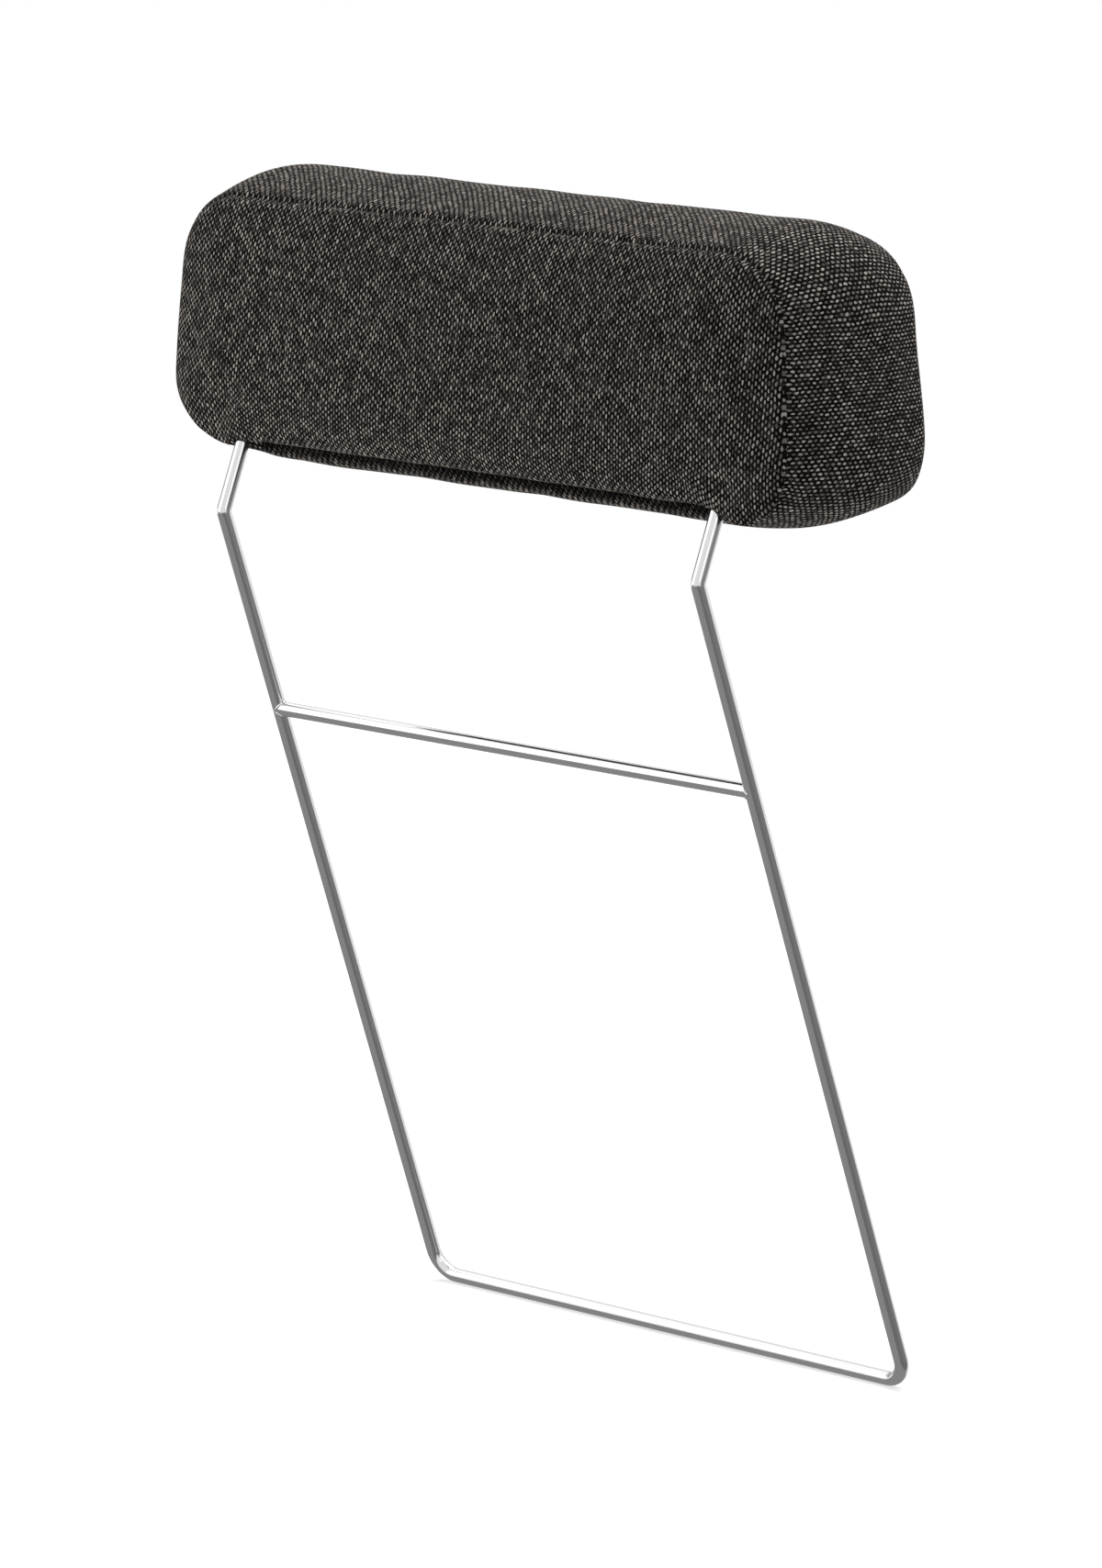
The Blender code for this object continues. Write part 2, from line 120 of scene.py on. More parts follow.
class Graph:
    """The nodes of one material or world."""

    def __init__(self, owner):
        owner.use_nodes = True
        self.tree = owner.node_tree
        self.tree.nodes.clear()

    def node(self, kind, settings=None, inputs=None):
        """A node of a kind, with its settings made first and then its sockets' values or links."""
        made = self.tree.nodes.new(kind)
        for name, value in (settings or {}).items():
            if name == "stops":
                ramp = made.color_ramp.elements
                while len(ramp) < len(value):
                    ramp.new(1)
                for stop, (place, colour) in zip(ramp, value):
                    stop.position = place
                    stop.color = (*colour, 1)
            else:
                setattr(made, name, value)
        for name, value in (inputs or {}).items():
            if isinstance(value, Wire):
                self.tree.links.new(value.socket, made.inputs[name])
            else:
                made.inputs[name].default_value = value
        return made

    def wire(self, kind, output, settings=None, inputs=None):
        return Wire(self, self.node(kind, settings, inputs).outputs[output])

    def math(self, operation, *values):
        return self.wire("ShaderNodeMath", 0, {"operation": operation}, dict(enumerate(values)))

    def vector(self, operation, *values):
        return self.wire("ShaderNodeVectorMath", 0, {"operation": operation}, dict(enumerate(values)))

    def split(self, vector):
        parts = self.node("ShaderNodeSeparateXYZ", inputs={0: vector})
        return [Wire(self, socket) for socket in parts.outputs]

    def joined(self, x, y, z=0.0):
        return self.wire("ShaderNodeCombineXYZ", 0, inputs={0: x, 1: y, 2: z})

    def blend(self, share, first, second):
        """The first colour where share is 0 and the second where it is 1."""
        settings = {"data_type": "RGBA"}
        inputs = {"Factor": share, 6: first, 7: second}
        return self.wire("ShaderNodeMix", 2, settings, inputs)

    def scaled(self, colour, amount):
        return self.wire("ShaderNodeVectorMath", 0, {"operation": "SCALE"}, {0: colour, "Scale": amount})

    def noise(self, vector, scale, detail):
        inputs = {"Vector": vector, "Scale": scale, "Detail": detail}
        return self.wire("ShaderNodeTexNoise", 0, inputs=inputs)

    def noise_colour(self, vector, scale, detail):
        inputs = {"Vector": vector, "Scale": scale, "Detail": detail}
        return self.wire("ShaderNodeTexNoise", 1, inputs=inputs)

    def random(self, vector):
        return self.wire("ShaderNodeTexWhiteNoise", 0, {"noise_dimensions": "3D"}, {"Vector": vector})

    def ramp(self, value, *stops):
        return self.wire("ShaderNodeValToRGB", 0, {"stops": stops}, {"Fac": value})

    def between(self, value, low, high, to_low=0.0, to_high=1.0):
        """Value mapped from low..high onto to_low..to_high, with soft ends."""
        settings = {"interpolation_type": "SMOOTHSTEP"}
        inputs = {0: value, 1: low, 2: high, 3: to_low, 4: to_high}
        return self.wire("ShaderNodeMapRange", 0, settings, inputs)

    def bump(self, height, strength=1.0):
        """A normal from a height in metres."""
        inputs = {"Height": height, "Strength": strength, "Distance": 1.0}
        return self.wire("ShaderNodeBump", 0, inputs=inputs)

    def surface(self, **inputs):
        """Ends the material in a Principled shader. An underscore in a name stands for a space."""
        named = {name.replace("_", " "): value for name, value in inputs.items()}
        shader = self.node("ShaderNodeBsdfPrincipled", inputs=named)
        self.end(Wire(self, shader.outputs[0]))

    def end(self, shader):
        kind = "ShaderNodeOutputWorld" if self.tree.id_data.name == "World" else "ShaderNodeOutputMaterial"
        self.node(kind, inputs={"Surface": shader})


def object_place(graph):
    return graph.wire("ShaderNodeTexCoord", "Object")


def new_material(name):
    made = bpy.data.materials.new(name)
    return made, Graph(made)


# Sizes and colours


def length_of(name, description, default):
    return FloatProperty(name=name, description=description, default=default, unit="LENGTH")


def angle_of(name, description, default):
    return FloatProperty(name=name, description=description, default=default, unit="ROTATION")


def colour_of(name, description, default):
    return FloatVectorProperty(name=name, description=description, default=default, subtype="COLOR")


class HeadrestRodSettings(bpy.types.PropertyGroup):
    diameter: length_of("Rod diameter", "Thickness of the round rod", ROD_DIAMETER)
    spacing: length_of("Rod spacing", "Between the legs' axes", ROD_SPACING)
    leg_length: length_of("Leg length", "From the bottom bar to the kink", 590.8 * MM)
    leg_lean: angle_of("Leg lean", "Lean of the legs to the back", math.radians(19.6))
    neck_length: length_of("Neck length", "From the kink to the rod's upper end", 165 * MM)
    neck_lean: angle_of("Neck lean", "Lean of the necks to the front", math.radians(21.5))
    cross_bar_up_leg: length_of("Cross bar height", "Along the leg", 441.9 * MM)
    foot_bend_radius: length_of("Foot bend", "Radius of the foot bends on the axis", 18 * MM)
    kink_bend_radius: length_of("Kink bend", "Radius of the kinks on the axis", 7 * MM)
    weld_radius: length_of("Weld size", "Radius of the weld's bead", 0.9 * MM)
    steel_colour: colour_of("Steel colour", "Colour of the polished steel", (0.72, 0.72, 0.73))
    steel_roughness: FloatProperty(
        name="Steel roughness", description="How blurred its reflections are", default=0.12, min=0, max=1
    )


class HeadrestCushionSettings(bpy.types.PropertyGroup):
    seam_width: length_of(
        "Seam width", "Width between the seams at the ends", PANEL_HIGH.x - PANEL_LOW.x + 2 * SEAM_GAP
    )
    seam_height: length_of(
        "Seam height", "Height between the top and foot seams", PANEL_HIGH.z - PANEL_LOW.z + 2 * SEAM_GAP
    )
    top_corner_width: length_of("Top corner width", "Width of the seam's top corners", 60 * MM)
    top_corner_height: length_of("Top corner height", "Height of the seam's top corners", 50 * MM)
    left_foot_width: length_of("Left foot corner", "Width of the seam's left foot corner", 88 * MM)
    right_foot_width: length_of("Right foot corner", "Width of the seam's right foot corner", 44 * MM)
    foot_corner_height: length_of("Foot corner height", "Height of the seam's foot corners", 45 * MM)
    end_lean: length_of("End lean", "How far the ends lean in above the belly", 6 * MM)
    face_lean: length_of("Face lean", "How far the faces lean in above the belly", 4 * MM)
    panel_crown: length_of("Panel crown", "How far the panels stand out before filling", 11 * MM)
    pressure: FloatProperty(name="Filling", description="Pressure of the filling on the cover", default=4.0)
    most_swell: length_of("Most swell", "How far the filling may push the cover", 6 * MM)
    seam_groove: length_of("Seam groove", "Depth of the sewn seams", 2.0 * MM)
    warp_pitch: length_of("Warp pitch", "Distance between the thick lengthwise yarns", 2.6 * MM)
    weft_pitch: length_of("Weft pitch", "Distance between the thin crosswise yarns", 2.34 * MM)
    # The near-black yarn's colour is also painted shade in the gaps between the yarns.
    dark_yarn_and_gap_shade_colour: colour_of("Ground yarn", "The near-black yarn", (0.0025, 0.0023, 0.0021))
    grey_colour: colour_of("Grey yarn", "The grey yarn", (0.02, 0.0187, 0.0175))
    sand_colour: colour_of("Sand yarn", "The light flecks", (0.54, 0.492, 0.446))


class HeadrestStageSettings(bpy.types.PropertyGroup):
    floor_colour: colour_of("Floor colour", "Colour of the floor", (0.88, 0.88, 0.88))
    sky_level: FloatProperty(name="Sky level", description="Even light from all round", default=0.25, min=0)
    lamp_level: FloatProperty(name="Lamp level", description="Strength of all the lamps", default=1.0, min=0)


# Geometry nodes


class Recipe:
    """A geometry node tree with named inputs."""

    def __init__(self, name, **inputs):
        self.tree = bpy.data.node_groups.new(name, "GeometryNodeTree")
        face = self.tree.interface
        face.new_socket("Geometry", in_out="INPUT", socket_type="NodeSocketGeometry")
        face.new_socket("Geometry", in_out="OUTPUT", socket_type="NodeSocketGeometry")
        self.ids = {}
        for key, kind in inputs.items():
            socket = face.new_socket(key.replace("_", " "), in_out="INPUT", socket_type="NodeSocket" + kind)
            self.ids[key] = socket.identifier
        self.source = self.tree.nodes.new("NodeGroupInput")

    def given(self, key):
        return next(s for s in self.source.outputs if s.identifier == self.ids[key])

    def node(self, kind, settings=None, inputs=None):
        made = self.tree.nodes.new(kind)
        for name, value in (settings or {}).items():
            setattr(made, name, value)
        for name, value in (inputs or {}).items():
            if isinstance(value, bpy.types.NodeSocket):
                self.tree.links.new(value, made.inputs[name])
            else:
                made.inputs[name].default_value = value
        return made.outputs[0]

    def finish(self, geometry):
        """Ends the tree in real geometry with smooth shading and the piece's material."""
        smooth = self.node("GeometryNodeSetShadeSmooth", inputs={"Geometry": geometry})
        real = self.node("GeometryNodeRealizeInstances", inputs={"Geometry": smooth})
        inputs = {"Geometry": real, "Material": self.given("Material")}
        painted = self.node("GeometryNodeSetMaterial", inputs=inputs)
        out = self.tree.nodes.new("NodeGroupOutput")
        self.tree.links.new(painted, out.inputs[0])

    def apply(self, thing, **values):
        """Runs the tree on an object and leaves it as a plain mesh."""
        step = thing.modifiers.new("recipe", "NODES")
        step.node_group = self.tree
        for key, value in values.items():
            step[self.ids[key]] = value
        plain_mesh(thing)


def plain_mesh(thing):
    """Turns what the modifiers make of an object into its own mesh."""
    graph = bpy.context.evaluated_depsgraph_get()
    mesh = bpy.data.meshes.new_from_object(thing.evaluated_get(graph))
    thing.modifiers.clear()
    thing.data = mesh
    mesh.name = thing.name


def new_object(name, mesh):
    made = bpy.data.objects.new(name, mesh)
    bpy.context.scene.collection.objects.link(made)
    return made


def mesh_from(name, points, edges=(), faces=()):
    mesh = bpy.data.meshes.new(name)
    mesh.from_pydata([tuple(p) for p in points], list(edges), list(faces))
    return mesh


def rod_recipe():
    """A bent round rod along a chain of edges. Each point's bend_radius rounds its corner."""
    recipe = Recipe(
        "bent_rod", Rod_Diameter="Float", Sides="Int", Steps_In_Bend="Int", Material="Material"
    )
    line = recipe.node("GeometryNodeMeshToCurve", inputs={"Mesh": recipe.source.outputs[0]})
    bend = recipe.node("GeometryNodeInputNamedAttribute", {"data_type": "FLOAT"}, {"Name": "bend_radius"})
    inputs = {"Curve": line, "Count": recipe.given("Steps_In_Bend"), "Radius": bend}
    rounded = recipe.node("GeometryNodeFilletCurve", {"mode": "POLY"}, inputs)
    half = {0: recipe.given("Rod_Diameter"), 1: 0.5}
    radius = recipe.node("ShaderNodeMath", {"operation": "MULTIPLY"}, half)
    inputs = {"Resolution": recipe.given("Sides"), "Radius": radius}
    section = recipe.node("GeometryNodeCurvePrimitiveCircle", {"mode": "RADIUS"}, inputs)
    inputs = {"Curve": rounded, "Profile Curve": section, "Fill Caps": True}
    recipe.finish(recipe.node("GeometryNodeCurveToMesh", inputs=inputs))
    return recipe


def chain_object(name, points, radii, closed=False):
    """A chain of edges through the points, with each point's bend radius."""
    edges = [(i, i + 1) for i in range(len(points) - 1)]
    if closed:
        edges.append((len(points) - 1, 0))
    mesh = mesh_from(name, points, edges)
    bends = mesh.attributes.new("bend_radius", "FLOAT", "POINT")
    bends.data.foreach_set("value", radii)
    return new_object(name, mesh)


# Rods

ROD_SIDES = 48
BEND_STEPS = 20
WELD_SIDES = 12
WELD_POINTS = 48

# The steel's cloudiness: clouds to a metre, their share of the full colour, and their change of roughness.
CLOUD_SCALE = 28
CLOUD_SHADE = 0.97
CLOUD_ROUGHNESS = 0.06


def steel_material(settings):
    """Polished steel with a slight cloudiness."""
    material, graph = new_material("polished_steel")
    cloud = graph.noise(object_place(graph), CLOUD_SCALE, 3)
    dull = tuple(part * CLOUD_SHADE for part in settings.steel_colour)
    tint = graph.blend(cloud, (*dull, 1), (*settings.steel_colour, 1))
    rough = settings.steel_roughness + (cloud - 0.5) * CLOUD_ROUGHNESS
    graph.surface(Base_Color=tint, Metallic=1.0, Roughness=rough)
    return material


def lean_axis(lean, towards):
    """The direction of a rod that leans from upright, to the back (-1) or to the front (1)."""
    return Vector((0, towards * math.sin(lean), math.cos(lean)))


def weld_loop(middle, along_leg, side, radius):
    """The closed line where the bar's surface meets the leg's, which the weld follows."""
    bar = Vector((-side, 0, 0))
    across = along_leg.cross(bar).normalized()
    points = []
    for step in range(WELD_POINTS):
        angle = 2 * math.pi * step / WELD_POINTS
        off = radius * math.sin(angle)
        reach = math.sqrt(max(radius**2 - off**2, 0))
        points.append(middle + along_leg * radius * math.cos(angle) + across * off + bar * reach)
    return points


class HEADREST_OT_build_rods(bpy.types.Operator):
    """Builds the bent rod, the welded cross bar and its welds"""

    bl_idname = "headrest.build_rods"
    bl_label = "Build rod frame"

    def execute(self, context):
        sizes = context.scene.headrest_rods
        steel = steel_material(sizes)
        recipe = rod_recipe()
        leg_up = lean_axis(sizes.leg_lean, -1)
        neck_up = lean_axis(sizes.neck_lean, 1)
        kink = leg_up * sizes.leg_length
        corners = []
        for side in (-1, 1):
            shift = Vector((side * sizes.spacing / 2, 0, 0))
            down = [kink + neck_up * sizes.neck_length + shift, kink + shift, shift]
            corners += down if side < 0 else down[::-1]
        radii = [0, sizes.kink_bend_radius, sizes.foot_bend_radius]
        rod = chain_object("rod_frame", corners, radii + radii[::-1])
        common = {
            "Rod_Diameter": sizes.diameter,
            "Sides": ROD_SIDES,
            "Steps_In_Bend": BEND_STEPS,
            "Material": steel,
        }
        bead = common | {"Rod_Diameter": 2 * sizes.weld_radius, "Sides": WELD_SIDES}
        recipe.apply(rod, **common)
        bar_at = leg_up * sizes.cross_bar_up_leg
        radius = sizes.diameter / 2

        # The bar's ends are hidden inside the legs.
        reach = sizes.spacing / 2 - radius / 2
        ends = [bar_at + Vector((side * reach, 0, 0)) for side in (-1, 1)]
        bar = chain_object("welded_bar", ends, [0, 0])
        recipe.apply(bar, **common)
        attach(rod, "root")
        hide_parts("wire_frame")
        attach(bar, "root")
        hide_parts("cross_bar")
        for side, name in ((-1, "weld_1"), (1, "weld_2")):
            middle = bar_at + Vector((side * sizes.spacing / 2, 0, 0))
            loop = weld_loop(middle, leg_up, side, radius)
            weld = chain_object(name, loop, [0] * len(loop), closed=True)
            recipe.apply(weld, **bead)
            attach(weld, "root")
        return {"FINISHED"}


# Cushion shape

# Distances of the mesh's rows from a seam, close together near it, and their even spacing further in.
ROWS_AT_SEAM = (0.0, 1.4 * MM, 3.2 * MM, 5.6 * MM, 8.8 * MM, 12.8 * MM)
ROW_SPACING = 5.0 * MM

# The slot between the rods where the cover closes, as depth (y) and height (z) of its first rows.
SLOT_ROWS = (
    (-180.5 * MM, 603.8 * MM),
    (-182.9 * MM, 608.5 * MM),
    (-183.0 * MM, 627.5 * MM),
    (-177.4 * MM, 627.5 * MM),
    (-175.8 * MM, 611.0 * MM),
    (-170.8 * MM, 603.0 * MM),
    (-169.6 * MM, 597.8 * MM),
    (-166.0 * MM, 592.4 * MM),
)

# Painted shade on the cloth in each of those rows, where 1 is the slot's inside, and how much of the cloth's
# colour it takes away there: a darker colour that stands in for the shade in the fold.
SLOT_PAINTED_SHADE = (0.0, 1.0, 1.0, 1.0, 1.0, 1.0, 0.85, 0.1)
SLOT_PAINTED_SHADE_DEPTH = 0.93

# Half the slot's length, and the stretch at each end over which it closes.
SLOT_HALF = 213 * MM
SLOT_FADE = 9 * MM

# How far the back foot seam is pulled up at the slot and sags beside the rods, up to FOOT_END from the
# middle, and how high over the seam the panel still feels it.
SLOT_LIFT = 7.2 * MM
FOOT_SAG = 2 * MM
FOOT_END = 265 * MM
SHIFT_HEIGHT = 45 * MM

# The back panel's roll over the slot: how far it stands out, the distance from the seam in which it gets
# there, and the heights over the seam between which it dies away.
FOOT_ROLL = 3 * MM
ROLL_REACH = 20 * MM
ROLL_HEIGHTS = (10 * MM, 60 * MM)

# The panels' crown: the distance from the seam in which it rises, and how round its rise is.
CROWN_REACH = 38 * MM
CROWN_ROUNDNESS = 0.65

# How far the band stands out at the ends, the top and the foot, and how much less it does at the foot's ends.
END_BULGE = 10 * MM
TOP_BULGE = 15 * MM
FOOT_BULGE = 12 * MM
FOOT_BULGE_LOSS = 4 * MM
FOOT_THINS = (205 * MM, FOOT_END)

# The power of the sine that the bulge follows from seam to seam, and what the foot adds to it.
BULGE_POWER = 0.8
FOOT_POWER = 0.3

# How far under the cushion the foot seam's pull reaches from the back.
PULL_DEPTH = 30 * MM

# How far the panels' upright yarns lean to the side for each step up.
PANEL_SKEW = 0.13

# Heights between which the cushion starts and stops leaning in.
BELLY_Z = 625 * MM
SHOULDER_Z = 725 * MM

# Heights between which the seams fade into the smooth roll of the foot.
SEAM_ENDS_Z = 612 * MM
SEAM_STARTS_Z = 645 * MM

# Points on each half of a corner of the seam's outline.
ARC_POINTS = 60

# The rim's foot is where its outward direction is lower than this, and the slot's points are held where
# the slot is at least this open.
FOOT_FACES = -0.7
HELD_FROM = 0.02


def smooth_step(value, low, high):
    """0 below low, 1 above high, and a soft rise between."""
    share = np.clip((value - low) / (high - low), 0, 1)
    return share * share * (3 - 2 * share)


def graded(length):
    """Shares of a side's length, close together at its ends."""
    near = np.array(ROWS_AT_SEAM)
    inner = length - 2 * near[-1]
    count = max(int(round(inner / ROW_SPACING)), 1)
    middle = near[-1] + inner * np.arange(1, count) / count
    return np.concatenate([near, middle, length - near[::-1]]) / length


class Cushion:
    """The cushion's cover as rows and columns of points: two panels and the band between them."""

    def __init__(self, sizes):
        self.sizes = sizes
        self.half_width = sizes.seam_width / 2
        self.half_height = sizes.seam_height / 2
        self.back_y = COVER_LOW.y - SEAM_GAP
        self.depth = COVER_HIGH.y - COVER_LOW.y + 2 * SEAM_GAP
        self.middle_z = (PANEL_LOW.z + PANEL_HIGH.z) / 2

    def side_line(self, which):
        """One side of the seam from the middle of a corner to the next: points and how far along each is."""
        turn = {"foot": 0, "right": 1, "top": 2, "left": 3}[which]
        left_foot = (self.sizes.left_foot_width, self.sizes.foot_corner_height)
        right_foot = (self.sizes.right_foot_width, self.sizes.foot_corner_height)
        top = (self.sizes.top_corner_width, self.sizes.top_corner_height)
        corners = ((-1, -1, *left_foot), (1, -1, *right_foot), (1, 1, *top), (-1, 1, *top))
        start, end = corners[turn], corners[(turn + 1) % 4]
        first = math.radians(225 + 90 * turn)
        arcs = []
        for (cx, cz, width, height), (begin, stop) in ((start, (0, 45)), (end, (45, 90))):
            angles = first + np.radians(np.linspace(begin, stop, ARC_POINTS))
            x = cx * (self.half_width - width) + width * np.cos(angles)
            z = cz * (self.half_height - height) + height * np.sin(angles)
            arcs.append(np.stack([x, z], 1))
        line = np.concatenate(arcs)
        steps = np.linalg.norm(np.diff(line, axis=0), axis=1)
        return line, np.concatenate([[0], np.cumsum(steps)])

    def sampled(self, which, shares):
        line, along = self.side_line(which)
        at = shares * along[-1]
        return np.stack([np.interp(at, along, line[:, 0]), np.interp(at, along, line[:, 1])], 1)

    def rows(self):
        """The panel's flat points (x, z), row by row, and the seam's outline as a closed rim."""
        across = graded(self.side_line("foot")[1][-1])
        up = graded(self.side_line("right")[1][-1])
        foot = self.sampled("foot", across)
        top = self.sampled("top", 1 - across)
        right = self.sampled("right", up)
        left = self.sampled("left", 1 - up)

        # a runs from the left end to the right one, and b from the foot to the top.
        a = across[None, :, None]
        b = up[:, None, None]
        sides = (1 - b) * foot[None] + b * top[None] + (1 - a) * left[:, None] + a * right[:, None]
        corners = (1 - a) * ((1 - b) * foot[0] + b * top[0]) + a * ((1 - b) * foot[-1] + b * top[-1])
        rim = np.concatenate([foot[:-1], right[:-1], top[::-1][:-1], left[::-1][:-1]])
        return sides - corners, rim

    def crown_share(self, gap):
        """How far a panel has risen to its crown, at a distance from the seam."""
        share = np.clip(gap / CROWN_REACH, 0, 1)
        return (1 - (1 - share) ** 2) ** CROWN_ROUNDNESS

    def foot_shift(self, x):
        """How far the back foot seam is pulled up between the rods and sags outside them."""
        aside = np.abs(x)
        rod = ROD_SPACING / 2
        pulled = SLOT_LIFT * (1 - smooth_step(aside, SLOT_HALF, rod + SLOT_FADE))
        outside = smooth_step(aside, rod, rod + 3 * SLOT_FADE)
        sag = outside * (1 - smooth_step(aside, FOOT_END, self.half_width))
        return pulled - FOOT_SAG * sag

    def panel(self, flat, gap, side):
        """A crowned panel. side is -1 at the back and 1 at the front."""
        x = flat[..., 0]
        z = flat[..., 1]
        crown = self.sizes.panel_crown * self.crown_share(gap)
        if side < 0:
            low = 1 - smooth_step(z + self.half_height, *ROLL_HEIGHTS)
            rolled = low * (1 - smooth_step(np.abs(x), SLOT_HALF, ROD_SPACING / 2 + SLOT_FADE))
            crown = crown + FOOT_ROLL * rolled * (1 - (1 - np.clip(gap / ROLL_REACH, 0, 1)) ** 2) ** 0.5
        y = self.back_y + (self.depth if side > 0 else 0) + side * crown
        if side < 0:
            fade = 1 - smooth_step(z + self.half_height, 0, SHIFT_HEIGHT)
            z = z + self.foot_shift(x) * fade
        return np.stack([x, y, z + self.middle_z], -1)

    def band(self, rim, outward):
        """The band from the back seam to the front one, row by row."""
        shares = graded(self.depth)[:, None]
        upper = outward[:, 1] > 0
        foot = FOOT_BULGE - FOOT_BULGE_LOSS * smooth_step(np.abs(rim[:, 0]), *FOOT_THINS)
        crown = END_BULGE * outward[:, 0] ** 2 + np.where(upper, TOP_BULGE, foot) * outward[:, 1] ** 2
        power = np.where(upper, BULGE_POWER, BULGE_POWER + FOOT_POWER * outward[:, 1] ** 2)
        bulge = (crown * np.sin(math.pi * shares) ** power)[..., None] * outward[None]
        flat = rim[None] + bulge
        y = self.back_y + self.depth * np.broadcast_to(shares, flat.shape[:2])
        z = flat[..., 1] + self.middle_z
        lower = outward[:, 1] < FOOT_FACES
        near_back = 1 - smooth_step(shares * self.depth, 0, PULL_DEPTH)
        z = z + np.where(lower, self.foot_shift(rim[:, 0]), 0) * near_back
        made = np.stack([flat[..., 0], y, z], -1)
        inside = 1 - smooth_step(np.abs(rim[:, 0]), SLOT_HALF, SLOT_HALF + SLOT_FADE)
        inside = np.where(lower, inside, 0)[:, None]
        for row, place in enumerate(SLOT_ROWS):
            made[row, :, 1:] += (np.array(place) - made[row, :, 1:]) * inside
        return made, inside[:, 0]

    def make_mesh(self):
        """The cover's mesh, its points, and the numbers of the points that the filling doesn't move."""
        flat, rim = self.rows()
        tangent = np.roll(rim, -1, 0) - np.roll(rim, 1, 0)
        outward = np.stack([tangent[:, 1], -tangent[:, 0]], 1)
        outward /= np.linalg.norm(outward, axis=1)[:, None]
        gap, outwards = distance_to_line(flat, rim)
        band, inside = self.band(rim, outward)
        up, across = flat.shape[:2]
        count = up * across
        around = len(rim)
        inner = len(band) - 2
        panels = [self.panel(flat, gap, side).reshape(-1, 3) for side in (-1, 1)]
        points = np.concatenate([*panels, band[1:-1].reshape(-1, 3)])
        index = np.arange(count).reshape(up, across)
        edge = np.concatenate([index[0, :-1], index[:-1, -1], index[-1, ::-1][:-1], index[::-1, 0][:-1]])
        points[edge] = band[0]
        points[edge + count] = band[-1]
        self.lean_in(points)
        between = 2 * count + np.arange(inner * around).reshape(inner, around)
        rows = np.concatenate([[edge], between, [edge + count]])
        quads = np.stack([index[:-1, :-1], index[:-1, 1:], index[1:, 1:], index[1:, :-1]], -1).reshape(-1, 4)
        turned = np.roll(rows, -1, 1)
        strip = np.stack([rows[:-1], rows[1:], turned[1:], turned[:-1]], -1).reshape(-1, 4)
        faces = np.concatenate([quads, quads[:, ::-1] + count, strip])
        mesh = mesh_from("cushion", points, faces=faces.tolist())
        laid = flat + outwards * self.slack(gap)[..., None]
        self.add_cloth_map(mesh, laid.reshape(-1, 2), rim, quads, inner)
        depths = graded(self.depth) * self.depth
        band_gap = np.broadcast_to(np.minimum(depths, self.depth - depths)[1:-1, None], (inner, around))
        seam_gap = np.concatenate([gap.ravel(), gap.ravel(), band_gap.ravel()])
        sewn = np.ones(len(points))
        sewn[edge] = 1 - inside
        sewn[2 * count :].reshape(inner, around)[: inner // 2] = 1 - inside
        lower_panel = self.slot_share(panels[0])
        sewn[:count] = np.minimum(sewn[:count], 1 - lower_panel)
        lips = 1 - sewn
        sewn *= smooth_step(points[:, 2], SEAM_ENDS_Z, SEAM_STARTS_Z)
        # Painted shade: how much the cloth's colour is darkened in each of the slot's rows, for the shade
        # inside the fold.
        in_slot = np.zeros(len(points))
        for row, shade in enumerate(SLOT_PAINTED_SHADE):
            in_slot[rows[row]] = shade * inside
        kept = {"seam_gap": seam_gap, "sewn": sewn, "lips": lips, "in_slot": in_slot}
        for name, values in kept.items():
            mesh.attributes.new(name, "FLOAT", "POINT").data.foreach_set("value", values)
        held = np.zeros(len(points), bool)
        held[edge] = True
        held[edge + count] = True
        for row in range(1, len(SLOT_ROWS)):
            held[rows[row]] |= inside > HELD_FROM
        return mesh, points, np.flatnonzero(held)

    def slack(self, gap):
        """How much longer the crowned cloth is than the flat panel, from a place to the crown's reach."""
        steps = np.linspace(0, CROWN_REACH, 400)
        rise = np.diff(self.sizes.panel_crown * self.crown_share(steps))
        extra = np.hypot(np.diff(steps), rise) - np.diff(steps)
        left = np.concatenate([np.cumsum(extra[::-1])[::-1], [0]])
        return np.interp(gap, steps, left)

    def lean_in(self, points):
        """Narrows the cushion above its belly, since the filling sinks."""
        share = smooth_step(points[:, 2], BELLY_Z, SHOULDER_Z)
        points[:, 0] *= 1 - share * self.sizes.end_lean / self.half_width
        half_depth = self.depth / 2
        points[:, 1] += (self.back_y + half_depth - points[:, 1]) * share * self.sizes.face_lean / half_depth

    def slot_share(self, points):
        """1 on the back panel's lower rows between the rods, where no seam shows."""
        aside = 1 - smooth_step(np.abs(points[:, 0]), SLOT_HALF, SLOT_HALF + SLOT_FADE)
        return aside * (points[:, 2] < self.middle_z)

    def add_cloth_map(self, mesh, flat, rim, quads, inner):
        """A map in metres along the yarns: across and up on a panel, round and across on the band."""
        steps = np.linalg.norm(np.roll(rim, -1, 0) - rim, axis=1)
        along = np.concatenate([[0], np.cumsum(steps)])
        repeat = 2 * self.sizes.warp_pitch
        along *= round(along[-1] / repeat) * repeat / along[-1]
        depths = graded(self.depth) * self.depth
        u0, v0 = np.broadcast_arrays(along[None, :-1], depths[:-1, None])
        u1, v1 = np.broadcast_arrays(along[None, 1:], depths[1:, None])
        strip = np.stack([u0, v0, u0, v1, u1, v1, u1, v0], -1).reshape(-1, 2)
        skewed = np.stack([flat[:, 0] - PANEL_SKEW * flat[:, 1], flat[:, 1]], 1)
        panel = skewed[quads].reshape(-1, 2)
        mirrored = skewed[quads[:, ::-1]].reshape(-1, 2)
        layer = mesh.uv_layers.new(name="cloth")
        layer.data.foreach_set("uv", np.concatenate([panel, mirrored, strip]).ravel())


